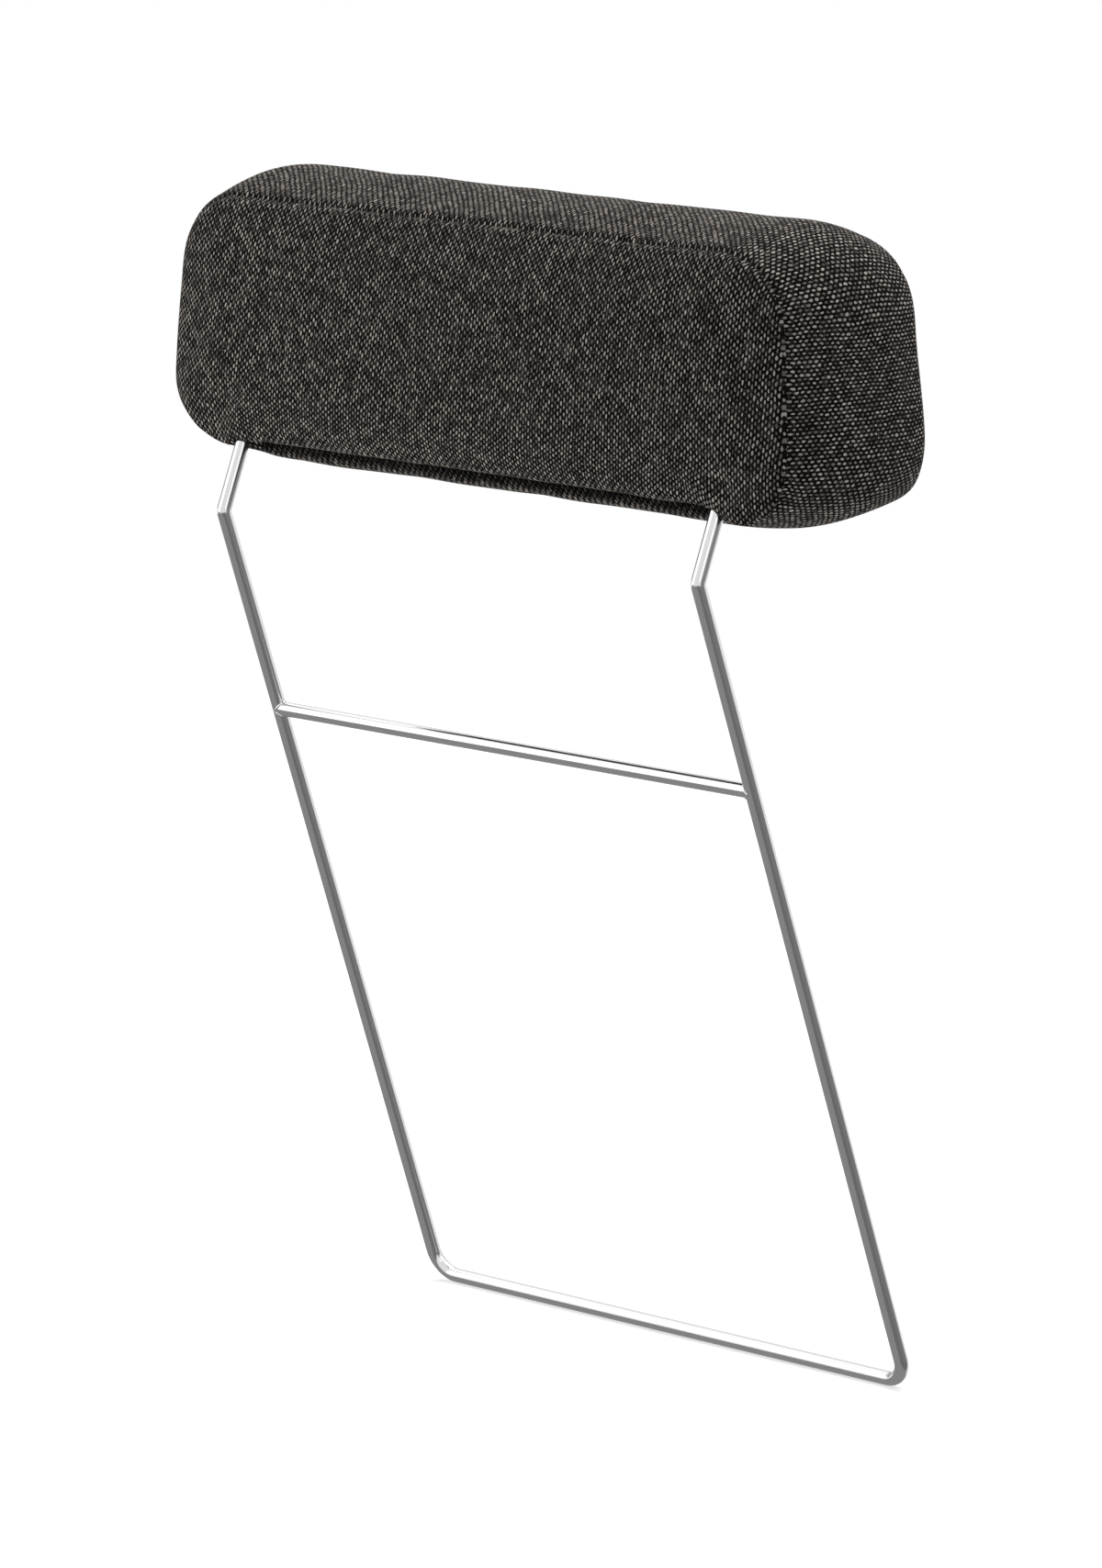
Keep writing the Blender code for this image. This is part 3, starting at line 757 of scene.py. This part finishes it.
def distance_to_line(points, line):
    """Each point's distance from a closed line of points, and the direction to its nearest place."""
    along = np.roll(line, -1, 0) - line
    far = np.empty(points.shape[:-1])
    towards = np.empty(points.shape)
    for row, place in enumerate(points):
        from_start = place[:, None] - line[None]
        share = np.clip((from_start * along).sum(-1) / (along * along).sum(-1), 0, 1)
        off = share[..., None] * along - from_start
        size = np.linalg.norm(off, axis=-1)
        nearest = size.argmin(1)
        pick = np.arange(len(place))
        far[row] = size[pick, nearest]
        towards[row] = off[pick, nearest] / np.maximum(far[row], 1e-6)[:, None]
    return far, towards


def read_points(mesh):
    found = np.empty(len(mesh.vertices) * 3)
    mesh.vertices.foreach_get("co", found)
    return found.reshape(-1, 3)


def write_points(mesh, points):
    mesh.vertices.foreach_set("co", points.ravel())
    mesh.update()


def read_values(mesh, name):
    found = np.empty(len(mesh.vertices))
    mesh.attributes[name].data.foreach_get("value", found)
    return found


# Frames of the simulation, after which the cover is at rest.
SWELL_FRAMES = 20

# How far from a seam the cloth is rounded, in how many passes, the share of it that is left away from the
# ends, and the distances from the middle between which it grows to all of it.
SEAM_ROUND = 8 * MM
SEAM_ROUND_STEPS = 24
ROUND_INSIDE = 0.15
ROUND_FROM = (255 * MM, 285 * MM)

# The sewn groove in millimetres: its width, and the ridge beside it with its share, place and width.
GROOVE_WIDTH = 1.8
RIDGE_SHARE = 0.15
RIDGE_GAP = 5
RIDGE_WIDTH = 2.6

# How much shallower the groove is at the ends, and where that sets in.
GROOVE_LOSS = 0.75
GROOVE_FADES = (FOOT_END, 285 * MM)

# The draw-in round each rod: how far, how wide, and up to where along the neck.
ROD_DRAW = 1.5 * MM
ROD_DRAW_REACH = 3 * MM
ROD_DRAW_ALONG = (55 * MM, 75 * MM)

# The small waves: how many, their lengths in millimetres, their height, and the seed that picks them.
WAVES = 14
WAVE_LENGTHS = (45, 110)
WAVE_HEIGHT = 0.12
WAVE_SEED = 7


def swell(thing, start, held, pressure, most):
    """Blows the cover up from inside by cloth simulation, held at its seams, no further than most."""
    pins = thing.vertex_groups.new(name="held")
    pins.add(held.tolist(), 1, "REPLACE")
    cloth = thing.modifiers.new("filling", "CLOTH")
    how = cloth.settings
    how.quality = 6
    how.mass = 0.3
    how.tension_stiffness = 30
    how.compression_stiffness = 30
    how.shear_stiffness = 10
    how.bending_stiffness = 1.5
    how.use_pressure = True
    how.uniform_pressure_force = pressure
    how.effector_weights.gravity = 0
    how.vertex_group_mass = "held"
    cloth.collision_settings.use_collision = False
    cloth.point_cache.frame_start = 1
    cloth.point_cache.frame_end = SWELL_FRAMES
    scene = bpy.context.scene
    for step in range(1, SWELL_FRAMES + 1):
        scene.frame_set(step)
    graph = bpy.context.evaluated_depsgraph_get()
    swollen = read_points(thing.evaluated_get(graph).data)
    thing.modifiers.remove(cloth)
    thing.vertex_groups.remove(pins)
    scene.frame_set(1)
    moved = swollen - start
    far = np.linalg.norm(moved, axis=1)[:, None]
    kept = most * np.tanh(far / most) / np.maximum(far, 1e-9)
    write_points(thing.data, start + moved * kept)


def round_seams(mesh):
    """Rounds the cloth where the panels meet the band, most at the ends and not at the slot's lips."""
    points = read_points(mesh)
    ends = np.empty(2 * len(mesh.edges), int)
    mesh.edges.foreach_get("vertices", ends)
    first, second = ends.reshape(-1, 2).T
    count = np.bincount(ends, minlength=len(points))[:, None]
    near = np.exp(-((read_values(mesh, "seam_gap") / SEAM_ROUND) ** 2)) * (1 - read_values(mesh, "lips"))
    near *= ROUND_INSIDE + (1 - ROUND_INSIDE) * smooth_step(np.abs(points[:, 0]), *ROUND_FROM)
    for _ in range(SEAM_ROUND_STEPS):
        total = np.zeros_like(points)
        for axis in range(3):
            total[:, axis] += np.bincount(first, points[second, axis], len(points))
            total[:, axis] += np.bincount(second, points[first, axis], len(points))
        points += (total / count - points) * near[:, None]
    write_points(mesh, points)


def sew(mesh, groove):
    """Draws the seams in and lets the cloth stand up beside them."""
    points = read_points(mesh)
    normals = np.array([v.vector for v in mesh.vertex_normals])
    gap = read_values(mesh, "seam_gap") / MM
    sewn = read_values(mesh, "sewn") * (1 - GROOVE_LOSS * smooth_step(np.abs(points[:, 0]), *GROOVE_FADES))
    inward = groove * np.exp(-((gap / GROOVE_WIDTH) ** 2))
    beside = RIDGE_SHARE * groove * np.exp(-(((gap - RIDGE_GAP) / RIDGE_WIDTH) ** 2))
    write_points(mesh, points + normals * ((beside - inward) * sewn)[:, None])


def close_round_rods(mesh, sizes):
    """Draws the cloth in round each rod where it enters."""
    points = read_points(mesh)
    neck_up = np.array(lean_axis(sizes.neck_lean, 1))
    kink = np.array(lean_axis(sizes.leg_lean, -1)) * sizes.leg_length
    for side in (-1, 1):
        foot = kink + (side * sizes.spacing / 2, 0, 0)
        from_foot = points - foot
        along = from_foot @ neck_up
        aside = np.linalg.norm(from_foot - along[:, None] * neck_up, axis=1)
        near = np.exp(-((np.maximum(aside - sizes.diameter / 2, 0) / ROD_DRAW_REACH) ** 2))
        low = 1 - smooth_step(along, *ROD_DRAW_ALONG)
        points += neck_up * (ROD_DRAW * near * low)[:, None]
    write_points(mesh, points)


def soften(mesh):
    """Small waves over the whole cover, about a third of a millimetre high together."""
    points = read_points(mesh)
    normals = np.array([v.vector for v in mesh.vertex_normals])
    picked = np.random.default_rng(WAVE_SEED)
    height = np.zeros(len(points))
    for _ in range(WAVES):
        direction = picked.normal(size=3)
        direction *= 2 * math.pi / (picked.uniform(*WAVE_LENGTHS) * MM) / np.linalg.norm(direction)
        height += np.sin(points @ direction + picked.uniform(0, 2 * math.pi))
    write_points(mesh, points + normals * (height * WAVE_HEIGHT * MM)[:, None])


# How far the yarns wander and jitter, and how close together (to a metre).
WANDER = 3.5 * MM
WANDER_SCALE = 30
JITTER = 1.5 * MM
JITTER_SCALE = 300

# Half the width and length of the yarns' grains, as shares of the pitch, and how much the thick yarns'
# grains differ. A grain takes up two pitches, and the thin yarns' grains start one later.
WARP_HALF_WIDTH = 0.25
WARP_WIDTH_SPREAD = 0.10
WARP_HALF_LENGTH = 0.56
WARP_LENGTH_SPREAD = 0.24
WEFT_HALF_WIDTH = 0.2
WEFT_HALF_LENGTH = 0.85
GRAIN_SPAN = 2.0

# The thin yarns' height as a share of the thick ones', and the height of these.
WEFT_HEIGHT = 0.6
YARN_HEIGHT = 0.4 * MM

# The yarns' colours: the thick yarns' tone with its share of each grain's own and of the yarn's change
# along itself, and how much of the sand colour the lightest thin yarn has.
TONE_LOW = 0.28
TONE_OF_GRAIN = 0.45
TONE_OF_YARN = 0.1
WEFT_SAND = 0.12
TONES = (0.05, 1.05)
WEFT_TONES = (0.45, 0.80)

# How the grains end, from full colour to none, on a scale where 1 is the grain's own edge.
WARP_EDGE = (0.5, 1.1)
WEFT_EDGE = (0.3, 1.2)

# The fine strands in a yarn: their darkest shade, how much lighter they get, and their share of its height.
STRAND_SHADE = 0.8
STRAND_CHANGE = 0.4
STRAND_HEIGHT = 0.1
WEAVE_RELIEF = 0.8

# Cells of each noise to a metre: fine strands across and along, and each yarn's change along itself.
STRANDS = (2400, 900)
WARP_CHANGE = 60
WEFT_CHANGE = 70
YARN_APART = 5.3


def woven_material(sizes):
    """A plain weave: light grains where thick yarns come up over thin dark ones, and dark gaps, whose
    near-black colour is partly the dark yarn and partly painted shade between the yarns.
    """
    material, graph = new_material("woven_charcoal")
    cloth = graph.wire("ShaderNodeUVMap", 0, {"uv_map": "cloth"})
    moved = cloth
    for amount, scale, detail in ((WANDER, WANDER_SCALE, 2), (JITTER, JITTER_SCALE, 1)):
        shift = graph.vector("SUBTRACT", graph.noise_colour(cloth, scale, detail), (0.5, 0.5, 0.5))
        moved = graph.vector("ADD", moved, graph.scaled(shift, amount))
    across, along, _ = graph.split(moved)
    u = across / sizes.warp_pitch
    v = along / sizes.weft_pitch
    column = graph.math("FLOOR", u)
    row = graph.math("FLOOR", v)
    warp_float = graph.math("FLOOR", (v + column + 0.5) / GRAIN_SPAN)
    weft_float = graph.math("FLOOR", (u + row - 0.5) / GRAIN_SPAN)
    warp_pick = graph.random(graph.joined(column, warp_float, 1.0))
    warp_size = graph.random(graph.joined(column, warp_float, 3.0))
    warp_side = (u - column - 0.5) / (WARP_HALF_WIDTH + warp_size * WARP_WIDTH_SPREAD)
    warp_start = v + column - warp_float * GRAIN_SPAN
    warp_end = (warp_start - 0.5) / (WARP_HALF_LENGTH + warp_size * WARP_LENGTH_SPREAD)
    weft_side = (v - row - 0.5) / WEFT_HALF_WIDTH
    weft_start = u + row - weft_float * GRAIN_SPAN
    weft_end = (weft_start - 1.5) / WEFT_HALF_LENGTH
    warp_out = warp_side * warp_side + warp_end * warp_end
    weft_out = weft_side * weft_side + weft_end * weft_end
    warp_height = graph.math("MAXIMUM", 1 - warp_out, 0.0) ** 0.5
    weft_height = graph.math("MAXIMUM", 1 - weft_out, 0.0) ** 0.5
    height = graph.math("MAXIMUM", warp_height, weft_height * WEFT_HEIGHT)
    strands = graph.noise(graph.joined(across * STRANDS[0], along * STRANDS[1]), 1, 2)
    thick_yarn = graph.noise(graph.joined(column * YARN_APART, along * WARP_CHANGE), 1, 2)
    thin_yarn = graph.noise(graph.joined(across * WEFT_CHANGE, row * YARN_APART), 1, 2)
    dark_yarn_and_gap_shade = (*sizes.dark_yarn_and_gap_shade_colour, 1)
    grey = (*sizes.grey_colour, 1)
    sand = (*sizes.sand_colour, 1)
    tone = warp_pick * TONE_OF_GRAIN + (thick_yarn - 0.5) * TONE_OF_YARN + TONE_LOW
    warp_colour = graph.blend(graph.between(tone, *TONES), grey, sand)
    light_weft = tuple(dark + (light - dark) * WEFT_SAND for dark, light in zip(grey, sand))
    weft_colour = graph.blend(graph.between(thin_yarn, *WEFT_TONES), dark_yarn_and_gap_shade, light_weft)
    under = graph.blend(graph.between(weft_out, *WEFT_EDGE, 1, 0), dark_yarn_and_gap_shade, weft_colour)
    woven = graph.blend(graph.between(warp_out, *WARP_EDGE, 1, 0), under, warp_colour)
    # Painted shade: the cloth's colour is darkened inside the slot, for the shade in the fold; the strands'
    # change is the yarn's own.
    inside = graph.wire("ShaderNodeAttribute", "Fac", {"attribute_name": "in_slot"})
    shade = (STRAND_SHADE + strands * STRAND_CHANGE) * (1 - inside * SLOT_PAINTED_SHADE_DEPTH)
    graph.surface(
        Base_Color=graph.scaled(woven, shade),
        Roughness=0.9,
        Specular_IOR_Level=0.05,
        Sheen_Weight=0.05,
        Sheen_Roughness=0.3,
        Sheen_Tint=(0.9, 0.86, 0.82, 1),
        Normal=graph.bump((height + strands * STRAND_HEIGHT) * YARN_HEIGHT, WEAVE_RELIEF),
    )
    return material


class HEADREST_OT_build_cushion(bpy.types.Operator):
    """Builds the cushion: two panels and a band, swollen from inside, with its seams and its slot"""

    bl_idname = "headrest.build_cushion"
    bl_label = "Build cushion"

    def execute(self, context):
        sizes = context.scene.headrest_cushion
        rods = context.scene.headrest_rods
        mesh, start, held = Cushion(sizes).make_mesh()
        cushion = new_object("cushion", mesh)
        swell(cushion, start, held, sizes.pressure, sizes.most_swell)
        fine = cushion.modifiers.new("fine", "SUBSURF")
        fine.levels = 1
        fine.render_levels = 1
        plain_mesh(cushion)
        round_seams(cushion.data)
        soften(cushion.data)
        sew(cushion.data, sizes.seam_groove)
        close_round_rods(cushion.data, rods)
        cushion.data.shade_smooth()
        cushion.data.materials.append(woven_material(sizes))
        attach(cushion, "root")
        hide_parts("cover_back", "cover_band", "cover_front", "foam_back", "foam_front")
        return {"FINISHED"}


# Hidden hardware

# Cells of the plywood's grain to a metre along x, y and z, its plies lying across y, and its depth.
PLY_GRAIN = (12, 900, 160)
PLY_GRAIN_DEPTH = 0.08 * MM

# Spots of the zinc to a metre.
ZINC_SPOTS = 900

# The loops of the tape: their spacing across and up, their fuzz to a metre, and their height.
LOOP_ACROSS = 1.3 * MM
LOOP_UP = 1.1 * MM
LOOP_FUZZ = 2600
LOOP_HEIGHT = 0.15 * MM


def plywood_material():
    """Sanded birch plywood with its grain along the board."""
    material, graph = new_material("plywood")
    cells = [way * size for way, size in zip(graph.split(object_place(graph)), PLY_GRAIN)]
    grain = graph.noise(graph.joined(*cells), 1, 4)
    shade = graph.ramp(grain, (0.3, (0.50, 0.35, 0.20)), (0.7, (0.68, 0.52, 0.33)))
    relief = graph.bump(grain * PLY_GRAIN_DEPTH)
    graph.surface(Base_Color=shade, Roughness=0.55 + grain * 0.25, Normal=relief)
    return material


def zinc_material():
    """Dull zinc plating with small spots."""
    material, graph = new_material("zinc_steel")
    spots = graph.noise(object_place(graph), ZINC_SPOTS, 3)
    shade = graph.ramp(spots, (0.3, (0.50, 0.50, 0.49)), (0.7, (0.64, 0.64, 0.62)))
    graph.surface(Base_Color=shade, Metallic=1.0, Roughness=0.30 + spots * 0.2)
    return material


def tape_material():
    """Black hook and loop tape: close rows of small loops."""
    material, graph = new_material("black_tape")
    place = object_place(graph)
    x, _, z = graph.split(place)
    across = graph.math("SINE", x * (2 * math.pi / LOOP_ACROSS))
    up = graph.math("SINE", z * (2 * math.pi / LOOP_UP))
    loops = across * up * 0.5 + graph.noise(place, LOOP_FUZZ, 2)
    shade = graph.ramp(loops, (0.2, (0.006, 0.006, 0.006)), (0.9, (0.035, 0.034, 0.033)))
    graph.surface(Base_Color=shade, Roughness=0.9, Normal=graph.bump(loops * LOOP_HEIGHT))
    return material


class HEADREST_OT_finish_hardware(bpy.types.Operator):
    """Gives the board, clamps, screws and tapes inside the cushion their finishes"""

    bl_idname = "headrest.finish_hardware"
    bl_label = "Finish hidden hardware"

    def execute(self, context):
        finishes = (
            (("stiffener_board",), plywood_material()),
            (("saddle", "screw"), zinc_material()),
            (("loop_tape", "hook_tape"), tape_material()),
        )
        for starts, material in finishes:
            for name, thing in frame["nodes"].items():
                if name.startswith(starts):
                    thing.data.materials.clear()
                    thing.data.materials.append(material)
        return {"FINISHED"}


# Stage

CAMERA_PLACE = (4.15032, -4.13652, 1.41395)
CAMERA_PITCH = 0.175622
CAMERA_TURN = 0.800551
CAMERA_LENS = 202.93

# The floor's corners from the middle of the object, and its place under the bottom bar.
FLOOR_OUTLINE = ((-2.5, -3.5), (3.0, -3.5), (3.0, 1.8), (-2.5, 1.8))
FLOOR_GAP = 0.2 * MM

# The white that the camera sees mixed into the floor: its strength, and its share near and far.
FLOOR_WHITE = 2.75
WHITE_SHARES = (0.2, 0.28)
WHITE_RISES = (0.35, 1.3)

# The low card that the steel mirrors, far under the floor: its outline, and the greys to the left and the
# right of the middle and far right, with the places in x between which each goes over into the next.
LOW_CARD_Z = -6
LOW_CARD_OUTLINE = ((-26, -26), (30, -26), (30, 5), (26, 25), (15.8, 32.3), (3, 6), (-26, 6))
LOW_CARD_GREYS = (0.31, 0.19, 0.235)
RIGHT_GREY_FROM = (3.6, 5.4)
FAR_GREY_FROM = (10.0, 13.0)

# The other cards that the steel mirrors: corners, and level where 1 is white.
CARDS = {
    "right_card": (((29.5, -5.2, -6), (22, 24.5, -6), (22, 24.5, 2), (29.5, -5.2, 5.9)), 0.275),
    "left_card": (((-22, 11, -0.5), (-24, -11, -0.5), (-24, -11, 9), (-22, 11, 7.5)), 0.52),
    "back_card": (((-16, 21, -0.5), (-22, 11, -0.5), (-22, 11, 7.5), (-16, 21, 7.5)), 0.85),
    "high_card": (((-5, 1.4, 3), (-5, -3, 3), (-1.6, -3, 3), (-1.6, 1.4, 3)), 1.4),
}

# The lamps: place, what each faces, width and height, and level.
MIDDLE = (0, -0.1, 0.55)
LAMPS = {
    "top_lamp": ((0, 0.3, 2.8), (0, 0, 0.6), (3.4, 2.6), 2.7),
    "left_lamp": ((-2.0, -2.2, 1.2), MIDDLE, (2.0, 2.0), 1.3),
    "right_lamp": ((2.9, -1.6, 1.5), MIDDLE, (0.4, 1.2), 1.5),
    "end_lamp": ((2.6, 1.2, 2.0), MIDDLE, (1.4, 1.4), 2.8),
    "low_lamp": ((-0.7, -1.1, 0.03), (-0.1, -0.3, 0.65), (1.0, 1.0), 3.6),
}
UNMIRRORED_LAMP = "low_lamp"


def plain_grey(level):
    return (level, level, level, 1)


def camera_ray(graph):
    """1 for what the camera sees directly, and 0 for light on its way."""
    return graph.wire("ShaderNodeLightPath", "Is Camera Ray")


def floor_material(settings):
    """A plain floor that the camera sees as white, with the object's shadow on it."""
    material, graph = new_material("floor")
    lit = graph.wire("ShaderNodeBsdfDiffuse", 0, inputs={"Color": (*settings.floor_colour, 1)})
    white = graph.wire("ShaderNodeEmission", 0, inputs={"Color": plain_grey(1), "Strength": FLOOR_WHITE})
    far = graph.wire("ShaderNodeVectorMath", 1, {"operation": "LENGTH"}, {0: object_place(graph)})
    share = camera_ray(graph) * graph.between(far, *WHITE_RISES, *WHITE_SHARES)
    graph.end(graph.wire("ShaderNodeMixShader", 0, inputs={0: share, 1: lit, 2: white}))
    return material


def white_world(settings):
    """White where the camera, metal or glass sees it, and a plain even light on everything else."""
    world = bpy.data.worlds.new("World")
    bpy.context.scene.world = world
    graph = Graph(world)
    seen = camera_ray(graph)
    for ray in ("Is Glossy Ray", "Is Transmission Ray"):
        seen = graph.math("MAXIMUM", seen, graph.wire("ShaderNodeLightPath", ray))
    colour = plain_grey(1)
    plain = graph.wire("ShaderNodeBackground", 0, inputs={"Color": colour, "Strength": settings.sky_level})
    white = graph.wire("ShaderNodeBackground", 0, inputs={"Color": colour, "Strength": 1.0})
    graph.end(graph.wire("ShaderNodeMixShader", 0, inputs={0: seen, 1: plain, 2: white}))


def softbox(name, place, aim, width, height, level):
    """A rectangular lamp of an even brightness, where 1 is white."""
    lamp = bpy.data.lights.new(name, "AREA")
    lamp.shape = "RECTANGLE"
    lamp.size = width
    lamp.size_y = height
    lamp.energy = level * math.pi * width * height
    made = new_object(name, lamp)
    made.location = place
    made.rotation_euler = (Vector(aim) - Vector(place)).to_track_quat("-Z", "Y").to_euler()
    return made


def low_card_grey(graph):
    """The low card's grey, which changes with x."""
    x, _, _ = graph.split(object_place(graph))
    left, right, far = (plain_grey(level) for level in LOW_CARD_GREYS)
    near = graph.blend(graph.between(x, *RIGHT_GREY_FROM), left, right)
    return graph.blend(graph.between(x, *FAR_GREY_FROM), near, far)


def card(name, corners, level=None):
    """A card that only the steel mirrors, of one even level or else of the low card's grey."""
    material, graph = new_material(name)
    even = {"Color": plain_grey(1), "Strength": level}
    inputs = {"Color": low_card_grey(graph), "Strength": 1.0} if level is None else even
    graph.end(graph.wire("ShaderNodeEmission", 0, inputs=inputs))
    made = new_object(name, mesh_from(name, corners, faces=[range(len(corners))]))
    made.data.materials.append(material)
    made.visible_camera = False
    made.visible_diffuse = False
    made.visible_shadow = False


class HEADREST_OT_build_stage(bpy.types.Operator):
    """Builds the floor, the cards, the lamps, the white surround and the camera"""

    bl_idname = "headrest.build_stage"
    bl_label = "Build stage"

    def execute(self, context):
        settings = context.scene.headrest_stage
        low = ROD_LOW.z - FLOOR_GAP
        corners = [(x, y, low) for x, y in FLOOR_OUTLINE]
        floor = new_object("floor", mesh_from("floor", corners, faces=[range(len(corners))]))
        floor.data.materials.append(floor_material(settings))
        floor.visible_glossy = False
        card("low_card", [(x, y, LOW_CARD_Z) for x, y in LOW_CARD_OUTLINE])
        for name, (corners, level) in CARDS.items():
            card(name, corners, level)
        white_world(settings)
        for name, (place, aim, size, level) in LAMPS.items():
            lamp = softbox(name, place, aim, *size, level * settings.lamp_level)
            lamp.visible_glossy = name != UNMIRRORED_LAMP
        camera = new_object("camera", bpy.data.cameras.new("camera"))
        camera.location = CAMERA_PLACE
        camera.rotation_euler = Euler((math.pi / 2 - CAMERA_PITCH, 0, CAMERA_TURN))
        camera.data.lens = CAMERA_LENS
        context.scene.camera = camera
        context.scene.view_settings.view_transform = "Standard"
        return {"FINISHED"}


# Add-on


class HEADREST_PT_panel(bpy.types.Panel):
    """Lists the headrest's pieces and their sizes"""

    bl_idname = "HEADREST_PT_panel"
    bl_label = "Headrest"
    bl_space_type = "VIEW_3D"
    bl_region_type = "UI"
    bl_category = "Headrest"

    def draw(self, context):
        for kind in OPERATORS:
            self.layout.operator(kind.bl_idname)
        for name in SETTINGS:
            box = self.layout.box()
            settings = getattr(context.scene, name)
            for key in settings.__annotations__:
                box.prop(settings, key)


OPERATORS = (
    HEADREST_OT_build_rods,
    HEADREST_OT_build_cushion,
    HEADREST_OT_finish_hardware,
    HEADREST_OT_build_stage,
)
SETTINGS = {
    "headrest_rods": HeadrestRodSettings,
    "headrest_cushion": HeadrestCushionSettings,
    "headrest_stage": HeadrestStageSettings,
}


def register():
    for name, kind in SETTINGS.items():
        bpy.utils.register_class(kind)
        setattr(bpy.types.Scene, name, PointerProperty(type=kind))
    for kind in (*OPERATORS, HEADREST_PT_panel):
        bpy.utils.register_class(kind)


def unregister():
    for kind in (HEADREST_PT_panel, *reversed(OPERATORS)):
        bpy.utils.unregister_class(kind)
    for name, kind in SETTINGS.items():
        delattr(bpy.types.Scene, name)
        bpy.utils.unregister_class(kind)


def main():
    register()
    bpy.ops.headrest.build_rods()
    bpy.ops.headrest.build_cushion()
    bpy.ops.headrest.finish_hardware()
    bpy.ops.headrest.build_stage()


if __name__ == "__main__":
    main()
